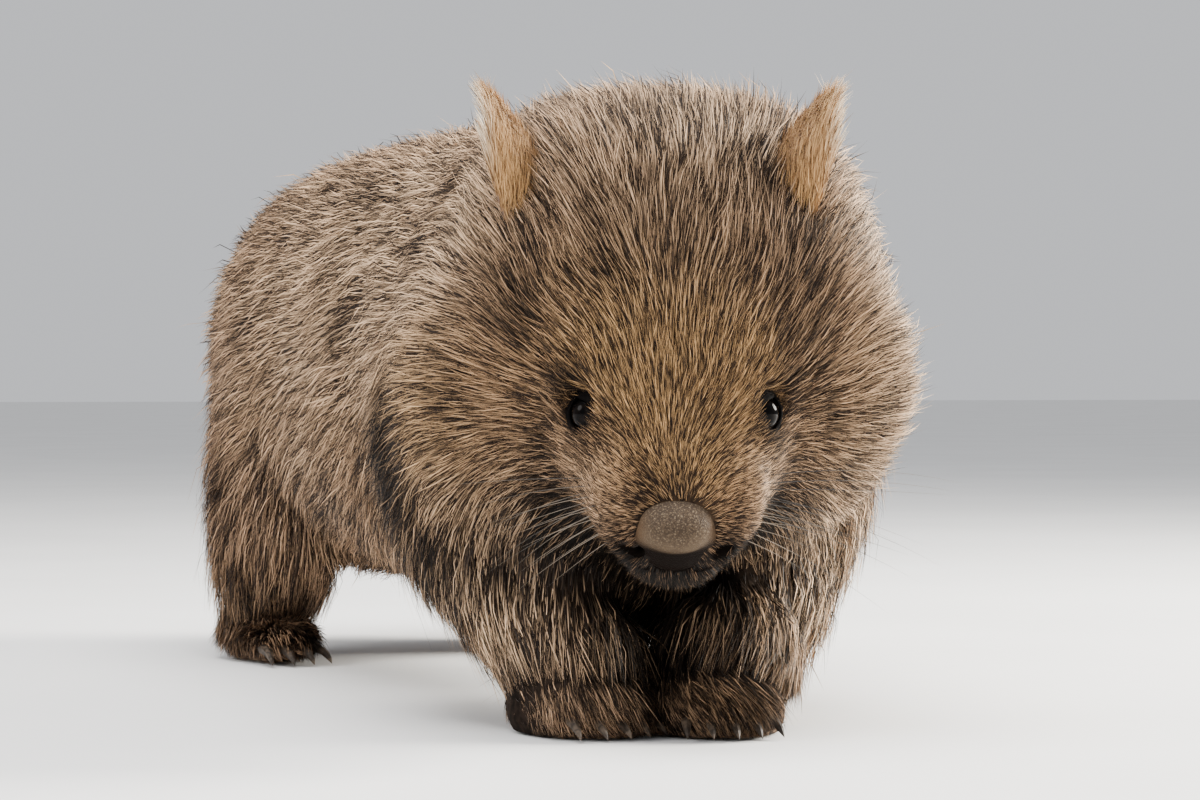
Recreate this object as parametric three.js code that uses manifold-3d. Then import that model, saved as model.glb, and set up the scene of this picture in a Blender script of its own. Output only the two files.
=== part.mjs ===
// A common wombat (bare-nosed wombat) as a still, life-size museum model, walking with its head lowered.
// Units are millimetres. +Z is up, the animal faces -Y, and its own left side is +X.
// Every mass is drawn out to the tips of the coat. The head is turned to the animal's right and tipped down.

import * as THREE from "three";
import { mergeVertices } from "three/addons/utils/BufferGeometryUtils.js";
import Module from "manifold-3d";

const wasm = await Module();
wasm.setup();

// Driving dimensions
const GAP = 0.3; // clearance between neighbouring pieces
const SPINE_BEND = -14; // sideways shift of the chest, as the animal turns to its right
const BODY_HALF_WIDTH = 138;
const BACK_HEIGHT = 322;
const BELLY_HEIGHT = 52;
const HEAD_CENTRE = [-39, -278, 189];
const HEAD_TURN = -18; // degrees, towards the animal's right
const HEAD_TIP = 35; // degrees, nose down
const EYE_RADIUS = 8.6;
const EYE_BULGE = 1; // how far the ball stands out past the coat
const EYE_SPACING = 74;
const EAR_SPACING = 154;
const EAR_LENGTH = 72;
const EAR_ROOT = 52; // height of the ear's hidden root in the head
const EAR_SHIFT = -6; // both ears are swung a little to the animal's right
const FORE_CLAW = 26;
const HIND_CLAW = 19;
const CLAW_HALF_WIDTH = 3;
const LOCK_HALF_THICKNESS = 2.4;
const COAT_SEED = 7; // for the small differences between one lock of hair and the next

// Colours of the coat and of the bare parts
const COLOURS = {
  coat: { color: 0x6f5c4a, roughness: 0.92, metalness: 0 },
  legCoat: { color: 0x5a5148, roughness: 0.92, metalness: 0 },
  ear: { color: 0x9a7a55, roughness: 0.92, metalness: 0 },
  nose: { color: 0x5d4f45, roughness: 0.6, metalness: 0 },
  eye: { color: 0x0c0a09, roughness: 0.08, metalness: 0 },
  claw: { color: 0x3a322b, roughness: 0.45, metalness: 0 },
};

// Fields: each gives roughly how far a point lies outside a mass, in millimetres

function mass([cx, cy, cz], [rx, ry, rz], power = 2) {
  const deepest = -Math.min(rx, ry, rz);
  return (x, y, z) => {
    const q = [Math.abs(x - cx) / rx, Math.abs(y - cy) / ry, Math.abs(z - cz) / rz];
    const sum = q[0] ** power + q[1] ** power + q[2] ** power;
    if (sum < 1e-5) return deepest;
    const slope = Math.hypot(
      q[0] ** (power - 1) / rx,
      q[1] ** (power - 1) / ry,
      q[2] ** (power - 1) / rz,
    );
    return (sum ** (1 / power) - 1) / (sum ** (1 / power - 1) * slope);
  };
}

function limb(from, to, fromRadius, toRadius) {
  const a = new THREE.Vector3(...from);
  const along = new THREE.Vector3(...to).sub(a);
  const lengthSquared = along.lengthSq();
  const p = new THREE.Vector3();
  return (x, y, z) => {
    p.set(x, y, z).sub(a);
    const share = Math.min(1, Math.max(0, p.dot(along) / lengthSquared));
    return p.addScaledVector(along, -share).length() - (fromRadius + share * (toRadius - fromRadius));
  };
}

function blend(softness, ...fields) {
  return (x, y, z) => {
    let near = fields[0](x, y, z);
    for (let i = 1; i < fields.length; i++) {
      const next = fields[i](x, y, z);
      const share = Math.max(softness - Math.abs(near - next), 0) / softness;
      near = Math.min(near, next) - (share * share * softness) / 4;
    }
    return near;
  };
}

const bothSides = (make) => [make(1), make(-1)];

// Where a straight line from inside a field first leaves it
function surfaceAlong(field, from, way, level = 0) {
  const p = from.clone();
  let gone = 0;
  let step = 1;
  while (gone < 900) {
    const depth = field(p.x, p.y, p.z) - level;
    if (depth >= 0) break;
    step = Math.max(1, -depth * 0.6);
    gone += step;
    p.addScaledVector(way, step);
  }
  let low = gone - step;
  let high = gone;
  for (let i = 0; i < 24; i++) {
    const middle = (low + high) / 2;
    p.copy(from).addScaledVector(way, middle);
    if (field(p.x, p.y, p.z) < level) low = middle;
    else high = middle;
  }
  return p.copy(from).addScaledVector(way, high);
}

// A closed net of rings stretched over a field, cast outwards from an axis that lies inside it
function wrap(field, { axis, rings, capRings, sectors, side = [1, 0, 0], level = 0 }) {
  const curve = new THREE.CatmullRomCurve3(axis.map((p) => new THREE.Vector3(...p)));
  const reference = new THREE.Vector3(...side);
  const positions = [];
  const stations = [];
  for (let i = 1; i <= capRings; i++) stations.push([0, Math.PI * (1 - (0.5 * i) / (capRings + 1))]);
  for (let i = 0; i <= rings; i++) stations.push([i / rings, Math.PI / 2]);
  for (let i = capRings; i >= 1; i--) stations.push([1, (Math.PI * 0.5 * i) / (capRings + 1)]);
  const cast = (share, lean, angle) => {
    const from = curve.getPointAt(share);
    const along = curve.getTangentAt(share);
    const across = reference.clone().addScaledVector(along, -reference.dot(along)).normalize();
    const other = along.clone().cross(across);
    const way = along
      .multiplyScalar(Math.cos(lean))
      .addScaledVector(across, Math.sin(lean) * Math.cos(angle))
      .addScaledVector(other, Math.sin(lean) * Math.sin(angle));
    const p = surfaceAlong(field, from, way.normalize(), level);
    positions.push(p.x, p.y, p.z);
  };
  cast(0, Math.PI, 0);
  for (const [share, lean] of stations)
    for (let k = 0; k < sectors; k++) cast(share, lean, (2 * Math.PI * k) / sectors);
  cast(1, 0, 0);
  return netOf(positions, stations.length, sectors);
}

// Triangles between a first point, rings of points, and a last point, turned to face outwards
function netOf(positions, ringCount, sectors) {
  const index = [];
  const at = (ring, k) => 1 + ring * sectors + (k % sectors);
  const last = 1 + ringCount * sectors;
  for (let k = 0; k < sectors; k++) {
    index.push(0, at(0, k + 1), at(0, k));
    for (let r = 0; r + 1 < ringCount; r++) {
      index.push(at(r, k), at(r, k + 1), at(r + 1, k + 1));
      index.push(at(r, k), at(r + 1, k + 1), at(r + 1, k));
    }
    index.push(last, at(ringCount - 1, k), at(ringCount - 1, k + 1));
  }
  const geometry = new THREE.BufferGeometry();
  geometry.setAttribute("position", new THREE.Float32BufferAttribute(positions, 3));
  geometry.setIndex(index);
  if (signedVolume(geometry) < 0) geometry.setIndex(index.reverse());
  return geometry;
}

function signedVolume(geometry) {
  const at = geometry.getAttribute("position");
  const index = geometry.getIndex();
  const corners = [new THREE.Vector3(), new THREE.Vector3(), new THREE.Vector3()];
  let sum = 0;
  for (let i = 0; i < index.count; i += 3) {
    corners.forEach((corner, k) => corner.fromBufferAttribute(at, index.getX(i + k)));
    sum += corners[0].dot(corners[1].clone().cross(corners[2]));
  }
  return sum;
}

// Solids, which are joined and cut

function solid(geometry, matrix = new THREE.Matrix4()) {
  const bare = geometry.clone().applyMatrix4(matrix);
  bare.deleteAttribute("normal");
  bare.deleteAttribute("uv");
  const merged = mergeVertices(bare, 1e-3);
  return new wasm.Manifold(
    new wasm.Mesh({
      numProp: 3,
      vertProperties: new Float32Array(merged.getAttribute("position").array),
      triVerts: new Uint32Array(merged.getIndex().array),
    }),
  );
}

const largest = (made) =>
  made.decompose().reduce((best, next) => (next.volume() > best.volume() ? next : best));

const joined = (first, ...others) => others.reduce((sum, next) => sum.add(next), first);

// Half of space: everything past a plane, starting `clear` beyond it
function past(point, way, clear = GAP / 2) {
  const reach = 2000;
  const normal = new THREE.Vector3(...way).normalize();
  const turn = new THREE.Quaternion().setFromUnitVectors(new THREE.Vector3(0, 0, 1), normal);
  const centre = new THREE.Vector3(...point).addScaledVector(normal, reach / 2 + clear);
  const matrix = new THREE.Matrix4().compose(centre, turn, new THREE.Vector3(1, 1, 1));
  return solid(new THREE.BoxGeometry(reach, reach, reach), matrix);
}

const opposite = (way) => way.map((v) => -v);

// The head's own frame: -Y is towards the nose, +Z to the crown, +X to the animal's left
const headFrame = new THREE.Matrix4()
  .makeTranslation(...HEAD_CENTRE)
  .multiply(new THREE.Matrix4().makeRotationZ(THREE.MathUtils.degToRad(HEAD_TURN)))
  .multiply(new THREE.Matrix4().makeRotationX(THREE.MathUtils.degToRad(HEAD_TIP)));
const inHead = (p) => new THREE.Vector3(...p).applyMatrix4(headFrame).toArray();
const headWay = (p) => new THREE.Vector3(...p).transformDirection(headFrame).toArray();

// Groups: the trunk stands in the model's own frame, the head and each foot in frames of their own

const trunkGroup = new THREE.Group();
const headGroup = new THREE.Group();
headFrame.decompose(headGroup.position, headGroup.quaternion, headGroup.scale);
trunkGroup.add(headGroup);

function addPlaced(group, name, geometry, matrix, finish) {
  const piece = new THREE.Mesh(geometry, new THREE.MeshStandardMaterial(COLOURS[finish]));
  piece.name = name;
  matrix.decompose(piece.position, piece.quaternion, piece.scale);
  group.add(piece);
}

// A joined or cut solid goes into its group with its own origin at the middle of its box
function addPiece(group, name, made, finish) {
  const mesh = made.getMesh();
  const geometry = new THREE.BufferGeometry();
  geometry.setAttribute("position", new THREE.BufferAttribute(mesh.vertProperties, 3));
  geometry.setIndex(new THREE.BufferAttribute(mesh.triVerts, 1));
  group.updateMatrix();
  geometry.applyMatrix4(group.matrix.clone().invert());
  geometry.computeBoundingBox();
  const centre = geometry.boundingBox.getCenter(new THREE.Vector3());
  geometry.translate(-centre.x, -centre.y, -centre.z);
  addPlaced(group, name, geometry, new THREE.Matrix4().setPosition(centre), finish);
}

// A closed form drawn along a curve, with an oval section of two half-widths at each share of its length
function spindle({ path, across, halfWidths, rings, sectors }) {
  const reference = new THREE.Vector3(...across);
  const positions = path.getPointAt(0).toArray();
  for (let i = 0; i < rings; i++) {
    const share = (i + 0.5) / (rings + 0.3);
    const centre = path.getPointAt(share);
    const along = path.getTangentAt(share);
    const wide = reference.clone().addScaledVector(along, -reference.dot(along)).normalize();
    const thick = along.clone().cross(wide);
    const [halfWide, halfThick] = halfWidths(share);
    for (let k = 0; k < sectors; k++) {
      const angle = (2 * Math.PI * (k + 0.5)) / sectors;
      const p = centre
        .clone()
        .addScaledVector(wide, halfWide * Math.cos(angle))
        .addScaledVector(thick, halfThick * Math.sin(angle));
      positions.push(p.x, p.y, p.z);
    }
  }
  positions.push(...path.getPointAt(1).toArray());
  return netOf(positions, rings, sectors);
}

const bend = (...points) =>
  new THREE.QuadraticBezierCurve3(...points.map((p) => new THREE.Vector3(...p)));

// Torso: a low, broad barrel with square shoulders and a steep, round rump

const bodyMiddle = (BACK_HEIGHT + BELLY_HEIGHT) / 2;
const bodyHalfHeight = (BACK_HEIGHT - BELLY_HEIGHT) / 2;
const torsoField = blend(
  44,
  mass([0, 50, bodyMiddle], [BODY_HALF_WIDTH - 3, 240, bodyHalfHeight], 2.7),
  mass([0, 226, bodyMiddle - 4], [BODY_HALF_WIDTH - 1, 144, bodyHalfHeight - 2], 2.35),
  mass([SPINE_BEND, -150, 182], [122, 132, 132], 2.3),
  mass([SPINE_BEND * 1.4, -214, 220], [107, 90, 97], 2.6),
  mass([SPINE_BEND * 1.8, -200, 162], [118, 74, 104], 2.2),
  mass([SPINE_BEND * 2, -256, 250], [84, 66, 62], 2.3),
  ...bothSides((s) => mass([s * 76 + SPINE_BEND, -160, 128], [48, 74, 74], 2.2)),
);
const torsoNet = {
  axis: [
    [-26, -200, 205],
    [-12, -120, 190],
    [0, 40, 185],
    [0, 240, 180],
  ],
  rings: 15,
  capRings: 5,
  sectors: 28,
};

// Head: broad and flat-topped, with full cheeks and a short, deep, blunt muzzle

const headField = blend(
  34,
  mass([0, 20, 8], [98, 78, 74], 2.3),
  mass([0, 44, 42], [88, 62, 60], 2.4),
  ...bothSides((s) => mass([s * 67, 18, -28], [59, 60, 62], 2.1)),
  ...bothSides((s) => mass([s * 40, -10, -20], [44, 42, 52], 2)),
  ...bothSides((s) => mass([s * 50, 18, -70], [50, 50, 40], 2)),
  mass([0, -8, -56], [60, 58, 38], 2.1),
  mass([0, -40, -4], [44, 50, 42], 2.2),
  mass([0, -88, -22], [41, 41, 29], 2.5),
  mass([0, -82, -48], [31, 34, 18], 2.1),
);
const headNet = {
  axis: [
    [0, -74, -16],
    [0, 10, 0],
  ],
  rings: 6,
  capRings: 7,
  sectors: 28,
};

// The body is drawn twice: as it is, and with the clearance all round, as the room it takes from others
const bodyAt = (level) =>
  joined(
    solid(wrap(torsoField, { ...torsoNet, level })),
    solid(wrap(headField, { ...headNet, level }), headFrame),
  );
const body = bodyAt(0);
const bodyRoom = bodyAt(GAP);

// Planes that part the body, from the head to the rump, each given by a point and the way to the head
const partings = [
  { point: [-30, -256, 200], way: [-0.25, -0.93, 0.25] },
  { point: [-18, -205, 200], way: [-0.12, -0.97, 0.15] },
  { point: [0, -66, 190], way: [0, -1, 0] },
  { point: [0, 128, 190], way: [0, -1, 0] },
];
const lengths = ["head", "neck", "chest", "belly", "rump"];

function lengthOf(whole, place, clear) {
  const ahead = partings[place - 1];
  const behind = partings[place];
  let made = whole;
  if (ahead) made = made.intersect(past(ahead.point, opposite(ahead.way), clear));
  if (behind) made = made.intersect(past(behind.point, behind.way, clear));
  return made;
}

// Each node under way: its solid, and the room that locks of other nodes keep out of
const nodes = new Map();
lengths.forEach((name, place) => {
  nodes.set(name, {
    made: lengthOf(body, place, GAP / 2),
    room: lengthOf(bodyRoom, place, -GAP / 2),
    group: trunkGroup,
    finish: "coat",
  });
});

// Face: lids round the sockets, ear cups, nostrils and the line of the mouth are cut or joined here
let face = nodes.get("head").made;
nodes.get("head").group = headGroup;

// A matrix in the head that puts an upright shape at a point and turns its +Z to face a way
function setOnHead(point, facing, scale = [1, 1, 1], spin = 0) {
  const turn = new THREE.Quaternion().setFromUnitVectors(new THREE.Vector3(0, 0, 1), facing);
  turn.multiply(new THREE.Quaternion().setFromAxisAngle(new THREE.Vector3(0, 0, 1), spin));
  return new THREE.Matrix4().compose(point, turn, new THREE.Vector3(...scale));
}

const inWorld = (matrix) => headFrame.clone().multiply(matrix);
const ball = (radius, detail) => new THREE.SphereGeometry(radius, detail, Math.round(detail * 0.7));

// Eyes: small dark balls in sockets, behind a thick lid with an almond opening that slants to the nose
const LID = 2.6;
const OPENING = [7.6, 5.2, 9];
const SLANT = THREE.MathUtils.degToRad(38);
for (const [s, side] of [
  [1, "left"],
  [-1, "right"],
]) {
  const inside = new THREE.Vector3(s * 10, -30, 0);
  const outwards = new THREE.Vector3(s * EYE_SPACING * 0.5, -62, 7).sub(inside).normalize();
  const facing = new THREE.Vector3(s * 0.56, -0.8, 0.16).normalize();
  const centre = surfaceAlong(headField, inside, outwards).addScaledVector(facing, EYE_BULGE - EYE_RADIUS);
  const front = centre.clone().addScaledVector(facing, EYE_RADIUS);
  const lid = solid(ball(EYE_RADIUS + LID, 14), inWorld(setOnHead(centre, facing)));
  const opening = solid(ball(1, 14), inWorld(setOnHead(front, facing, OPENING, s * SLANT)));
  const socket = solid(ball(EYE_RADIUS + GAP, 14), inWorld(setOnHead(centre, facing)));
  face = face.add(lid).subtract(opening).subtract(socket);
  addPlaced(headGroup, `eye_${side}`, ball(EYE_RADIUS, 14), setOnHead(centre, facing), "eye");
}

// Nose: a broad leathery pad with a nostril cut into each lower side
const noseField = mass([-2, -118, -20], [27, 21, 19], 2.5);
const nosePad = (level) =>
  solid(
    wrap(noseField, {
      axis: [
        [-10, -118, -20],
        [6, -118, -20],
      ],
      rings: 3,
      capRings: 4,
      sectors: 16,
      side: [0, 1, 0],
      level,
    }),
    headFrame,
  );
const nostrils = joined(
  ...bothSides((s) =>
    solid(
      spindle({
        path: bend([s * 6 - 2, -146, -34], [s * 11 - 2, -134, -31], [s * 19 - 2, -126, -22]),
        across: [1, 0, 0],
        halfWidths: (share) => [4.2 - 2 * share, 3.4 - 1.6 * share],
        rings: 4,
        sectors: 8,
      }),
      headFrame,
    ),
  ),
);
nodes.set("nose", {
  made: largest(nosePad(0).subtract(nostrils)),
  room: nosePad(GAP),
  group: headGroup,
  finish: "nose",
});
face = face.subtract(nosePad(GAP)).subtract(nostrils);

// Mouth: the lower jaw is parted from the lips along a plane that drops towards the front
const LIP_GAP = 1.2;
const mouthPlane = { point: inHead([0, -111, -41]), way: headWay([0, 0.24, -0.97]) };
const jawBox = (extra) =>
  solid(
    new THREE.BoxGeometry(90 + extra, 90 + extra, 60 + extra),
    inWorld(new THREE.Matrix4().makeTranslation(0, -115, -66)),
  );
const belowLips = jawBox(0).intersect(past(mouthPlane.point, mouthPlane.way, LIP_GAP - GAP));
const jawRoom = jawBox(2 * GAP).intersect(past(mouthPlane.point, mouthPlane.way, -GAP));
nodes.set("lower_jaw", {
  made: largest(face.intersect(belowLips)),
  room: nodes.get("head").room.intersect(jawRoom),
  group: headGroup,
  finish: "coat",
});
nodes.get("head").made = face.subtract(jawRoom);

// Ears: short, pointed and upright, each a cup that opens to the side and carries a fringe on its rim
for (const [s, side] of [
  [1, "left"],
  [-1, "right"],
]) {
  const spot = (out, back, up) => [EAR_SHIFT + s * (EAR_SPACING / 2 + out), back, EAR_ROOT + up];
  const outer = spindle({
    path: bend(spot(-18, 34, 0), spot(-4, 26, EAR_LENGTH * 0.6), spot(1, 36, EAR_LENGTH)),
    across: [0, 1, 0],
    halfWidths: (share) => [27 * (1 - share ** 2.6) ** 0.7, 21 * (1 - share ** 1.8) ** 0.7],
    rings: 7,
    sectors: 14,
  });
  const cup = spindle({
    path: bend(spot(6, 38, 10), spot(15, 30, EAR_LENGTH * 0.6), spot(12, 38, EAR_LENGTH * 0.9)),
    across: [0, 1, 0],
    halfWidths: (share) => [19 * (1 - share ** 2.3) ** 0.8, 14 * (1 - share ** 2.6) ** 0.8],
    rings: 6,
    sectors: 10,
  });
  const ear = largest(solid(outer, headFrame).subtract(solid(cup, headFrame)).subtract(bodyRoom));
  nodes.set(`ear_${side}`, { made: ear, room: solid(outer, headFrame), group: headGroup, finish: "ear" });
}

// Tail: a short stub, almost lost in the coat of the rump
const tailShape = solid(
  spindle({
    path: bend([0, 340, 202], [0, 370, 204], [0, 381, 186]),
    across: [1, 0, 0],
    halfWidths: (share) => [12 - 4 * share, 10 - 3 * share],
    rings: 5,
    sectors: 10,
  }),
);
nodes.set("tail", {
  made: largest(tailShape.subtract(bodyRoom)),
  room: tailShape,
  group: trunkGroup,
  finish: "coat",
});

// Legs: short and thick, each parted from its broad flat foot at the wrist or the hock.
// A leg is a chain of joints, each a place and a radius, with a foot mass, and sometimes a thigh.
const legs = [
  {
    names: ["foreleg_right", "forefoot_right"],
    chain: [
      [[-84, -160, 150], 58],
      [[-92, -186, 105], 45],
      [[-86, -212, 72], 38],
      [[-74, -236, 42], 32],
      [[-73, -244, 24], 24],
    ],
    masses: [mass([-72, -254, 15], [27, 33, 17], 2.3)],
    cut: { point: [-76, -240, 36], way: [0, 0.3, 0.95] },
    axis: [
      [-84, -165, 145],
      [-88, -205, 85],
      [-73, -246, 22],
    ],
    claws: { count: 5, length: FORE_CLAW, front: [-72, -282], turn: 8, spread: 9.6, rise: 9 },
  },
  {
    names: ["foreleg_left", "forefoot_left"],
    chain: [
      [[56, -160, 150], 58],
      [[52, -190, 105], 45],
      [[36, -216, 72], 40],
      [[5, -250, 42], 33],
      [[-10, -264, 24], 24],
    ],
    masses: [mass([-15, -274, 15], [27, 33, 17], 2.3)],
    cut: { point: [-2, -256, 36], way: [0.3, 0.3, 0.9] },
    axis: [
      [52, -165, 145],
      [40, -212, 85],
      [-12, -268, 22],
    ],
    claws: { count: 5, length: FORE_CLAW, front: [-17, -302], turn: -10, spread: 9.6, rise: 9 },
  },
  ...[
    [-1, "right", 0],
    [1, "left", 34],
  ].map(([s, side, back]) => ({
    names: [`hindleg_${side}`, `hindfoot_${side}`],
    chain: [
      [[s * 96, 210 + back, 110], 46],
      [[s * 104, 216 + back, 62], 37],
      [[s * 106, 222 + back, 34], 29],
      [[s * 107, 214 + back, 20], 24],
    ],
    masses: [
      mass([s * 107, 196 + back, 15], [27, 50, 17], 2.3),
      mass([s * 97, 214 + back * 0.6, 104], [46, 86, 78], 2.2),
    ],
    cut: { point: [s * 106, 216 + back, 36], way: [0, 0.1, 0.99] },
    axis: [
      [s * 94, 210 + back, 110],
      [s * 105, 216 + back, 55],
      [s * 107, 204 + back, 20],
    ],
    claws: {
      count: 4,
      length: HIND_CLAW,
      front: [s * 107, 152 + back],
      turn: s * -6,
      spread: 11,
      rise: 8,
    },
  })),
];

// Claws: curved and tapering, each rooted in a socket in the front of the foot
function claw({ length, rise }, extra) {
  return spindle({
    path: bend([0, 9 + extra, 1.5], [0, -length * 0.55, 3.5], [0, -length - extra, 1.5 - rise]),
    across: [1, 0, 0],
    halfWidths: (share) => [
      CLAW_HALF_WIDTH * (1 - share ** 2.2) + 0.7 + extra,
      CLAW_HALF_WIDTH * 0.85 * (1 - share ** 2) + 0.7 + extra,
    ],
    rings: 5,
    sectors: 6,
  });
}

for (const { names, chain, masses, cut, axis, claws } of legs) {
  const limbs = chain.slice(1).map(([to, radius], i) => limb(chain[i][0], to, chain[i][1], radius));
  const field = blend(18, ...limbs, ...masses);
  const legAt = (level, clear) => {
    const whole = solid(wrap(field, { axis, rings: 9, capRings: 4, sectors: 15, level }));
    const standing = whole.intersect(past([0, 0, 0], [0, 0, 1], 0));
    return [
      standing.intersect(past(cut.point, cut.way, clear)),
      standing.intersect(past(cut.point, opposite(cut.way), clear)),
    ];
  };
  const [upper, lower] = legAt(0, GAP / 2).map((made) => largest(made.subtract(bodyRoom)));
  const [upperRoom, lowerRoom] = legAt(GAP, -GAP / 2);
  const footGroup = new THREE.Group();
  footGroup.position.set(...claws.front, 0);
  footGroup.rotation.z = THREE.MathUtils.degToRad(claws.turn);
  footGroup.updateMatrix();
  trunkGroup.add(footGroup);
  let foot = lower;
  for (let i = 0; i < claws.count; i++) {
    const place = i - (claws.count - 1) / 2;
    const matrix = new THREE.Matrix4()
      .makeTranslation(place * claws.spread, Math.abs(place) ** 1.6 * 2.2, claws.rise)
      .multiply(new THREE.Matrix4().makeRotationZ(THREE.MathUtils.degToRad(place * 5)));
    foot = foot.subtract(solid(claw(claws, GAP * 1.2), footGroup.matrix.clone().multiply(matrix)));
    addPlaced(footGroup, `${names[1]}_claw_${i + 1}`, claw(claws, 0), matrix, "claw");
  }
  nodes.set(names[0], { made: upper, room: upperRoom, group: trunkGroup, finish: "legCoat", field });
  nodes.set(names[1], { made: largest(foot), room: lowerRoom, group: footGroup, finish: "legCoat", field });
}

// Coat: flat tapering locks, rooted in the body and lying along it, where the hair is long

// A small seeded draw between -1 and 1
let drawn = COAT_SEED;
function varied() {
  drawn = (drawn * 1103515245 + 12345) % 2147483648;
  return (drawn / 2147483648) * 2 - 1;
}

// Which way a field's surface faces at a point
function facingAt(field, p) {
  const slope = ["x", "y", "z"].map((axis) => {
    const ahead = p.clone();
    const behind = p.clone();
    ahead[axis] += 2;
    behind[axis] -= 2;
    return field(ahead.x, ahead.y, ahead.z) - field(behind.x, behind.y, behind.z);
  });
  return new THREE.Vector3(...slope).normalize();
}

// The body's own field, with the head turned into its place
const headInverse = headFrame.clone().invert();
const bodyField = (() => {
  const p = new THREE.Vector3();
  return (x, y, z) => {
    p.set(x, y, z).applyMatrix4(headInverse);
    return Math.min(torsoField(x, y, z), headField(p.x, p.y, p.z));
  };
})();

// A lock starts below the skin, rises a little, and lies along the coat to its tip
function lock(field, from, towards, lie, { length, width, stand }) {
  const way = new THREE.Vector3(...towards).sub(new THREE.Vector3(...from)).normalize();
  const point = surfaceAlong(field, new THREE.Vector3(...from), way);
  const facing = facingAt(field, point);
  const along = new THREE.Vector3(...lie);
  along.addScaledVector(facing, -along.dot(facing)).normalize();
  const across = facing.clone().cross(along);
  along.addScaledVector(across, 0.16 * varied()).normalize();
  const reach = length * (1 + 0.16 * varied());
  const out = (share, height) =>
    point.clone().addScaledVector(along, reach * share).addScaledVector(facing, height).toArray();
  const half = 0.5 * width * (1 + 0.15 * varied());
  const shape = spindle({
    path: bend(out(-0.3, -7), out(0.35, stand + 3), out(1, stand * 0.4 - 1)),
    across: across.toArray(),
    halfWidths: (share) => [
      half * (1 - share ** 1.6),
      LOCK_HALF_THICKNESS * (1.15 - share),
    ],
    rings: 3,
    sectors: 4,
  });
  return { point, root: point.clone().addScaledVector(facing, -3), shape: solid(shape) };
}

// The part of the body that holds a point
const bodyNodeAt = (p) => {
  const place = partings.findIndex(
    ({ point, way }) => new THREE.Vector3(...way).dot(p.clone().sub(new THREE.Vector3(...point))) > 0,
  );
  return lengths[place < 0 ? lengths.length - 1 : place];
};

const grown = [];
const grow = (owner, shape) => {
  let clear = shape;
  for (const [name, { room }] of nodes) if (name !== owner) clear = clear.subtract(room);
  if (clear.isEmpty()) return;
  const made = largest(clear);
  const crosses = grown.some((other) => other.owner !== owner && !other.made.intersect(made).isEmpty());
  if (crosses) return;
  grown.push({ owner, made });
};

// Cheek ruff: fans out from the face and back over the neck
for (const s of [1, -1]) {
  for (const [row, back] of [-12, 8, 26].entries()) {
    for (let i = 0; i < 6; i++) {
      const angle = THREE.MathUtils.degToRad(64 + 18 * i + 9 * (row % 2));
      const out = [s * Math.sin(angle), 0, Math.cos(angle)];
      const from = inHead([s * 20, back, -14]);
      const towards = inHead([s * 20 + out[0] * 100, back, -14 + out[2] * 100]);
      const lie = headWay([out[0] * 0.5, 1, out[2] * 0.5 - 0.25]);
      const made = lock(bodyField, from, towards, lie, { length: 40, width: 23, stand: 4 });
      grow(bodyNodeAt(made.root), made.shape);
    }
  }
}

// Nape: short upright locks across the top of the neck, behind the ears
for (let row = 0; row < 2; row++) {
  for (let i = 0; i < 5; i++) {
    const across = (i - 2) * 34 + (row % 2) * 17 + SPINE_BEND * 1.4;
    const from = [across * 0.4, -236 + row * 26, 200];
    const towards = [across, -236 + row * 26, 330];
    const made = lock(bodyField, from, towards, [0, 1, 0], { length: 32, width: 20, stand: 3 });
    grow(bodyNodeAt(made.root), made.shape);
  }
}

// Throat and chest: a dark beard hanging between the forelegs
for (let row = 0; row < 3; row++) {
  for (let i = 0; i < 4; i++) {
    const across = (i - 1.5) * 24 + (row % 2) * 8 - 26;
    const from = [-22, -200, 165];
    const towards = [across, -285 + row * 22, 92 - row * 22];
    const made = lock(bodyField, from, towards, [0, -0.35, -1], { length: 34, width: 19, stand: 4 });
    grow(bodyNodeAt(made.root), made.shape);
  }
}

// Belly hem and flanks: locks that hang down and back along each side
for (const s of [1, -1]) {
  for (let i = 0; i < 6; i++) {
    for (const [drop, outwards] of [
      [-92, 88],
      [-58, 118],
    ]) {
      const along = -78 + 36 * i + 12 * varied();
      const from = [0, along, bodyMiddle];
      const towards = [s * outwards, along, bodyMiddle + drop];
      const lie = [s * 0.1, 0.55, -1];
      const made = lock(bodyField, from, towards, lie, { length: 36, width: 22, stand: 3 });
      grow(bodyNodeAt(made.root), made.shape);
    }
  }
}

// Rump: locks that part over the tail and hang down behind
for (let row = 0; row < 3; row++) {
  for (let i = 0; i < 5; i++) {
    const side = (i - 2) * 0.46 + (row % 2) * 0.2;
    const height = 232 - row * 52;
    const from = [0, 250, height - 20];
    const towards = [Math.sin(side) * 140, 250 + Math.cos(side) * 140, height];
    const made = lock(bodyField, from, towards, [side * 0.4, 0.1, -1], { length: 38, width: 24, stand: 3 });
    grow(bodyNodeAt(made.root), made.shape);
  }
}

// Legs: shaggy fringes that hang down all round the forelegs, and behind the hind legs
function fringe(legName, footName, heights, turns, size) {
  const { field } = nodes.get(legName);
  const { chain, cut } = legs.find(({ names }) => names[0] === legName);
  heights.forEach((height, row) => {
    const below = chain.findIndex(([p]) => p[2] <= height);
    const [upperJoint] = chain[below - 1];
    const [lowerJoint] = chain[below];
    const share = (upperJoint[2] - height) / (upperJoint[2] - lowerJoint[2]);
    const from = upperJoint.map((v, k) => v + share * (lowerJoint[k] - v));
    for (const turn of turns) {
      const angle = THREE.MathUtils.degToRad(turn + 18 * (row % 2));
      const towards = [from[0] + 50 * Math.sin(angle), from[1] - 50 * Math.cos(angle), height];
      const lie = lowerJoint.map((v, k) => v - upperJoint[k]);
      const made = lock(field, from, towards, lie, size);
      const above = new THREE.Vector3(...cut.way).dot(made.root.clone().sub(new THREE.Vector3(...cut.point)));
      grow(above > 0 ? legName : footName, made.shape);
    }
  });
}
const SHAGGY = { length: 34, width: 17, stand: 4 };
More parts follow.
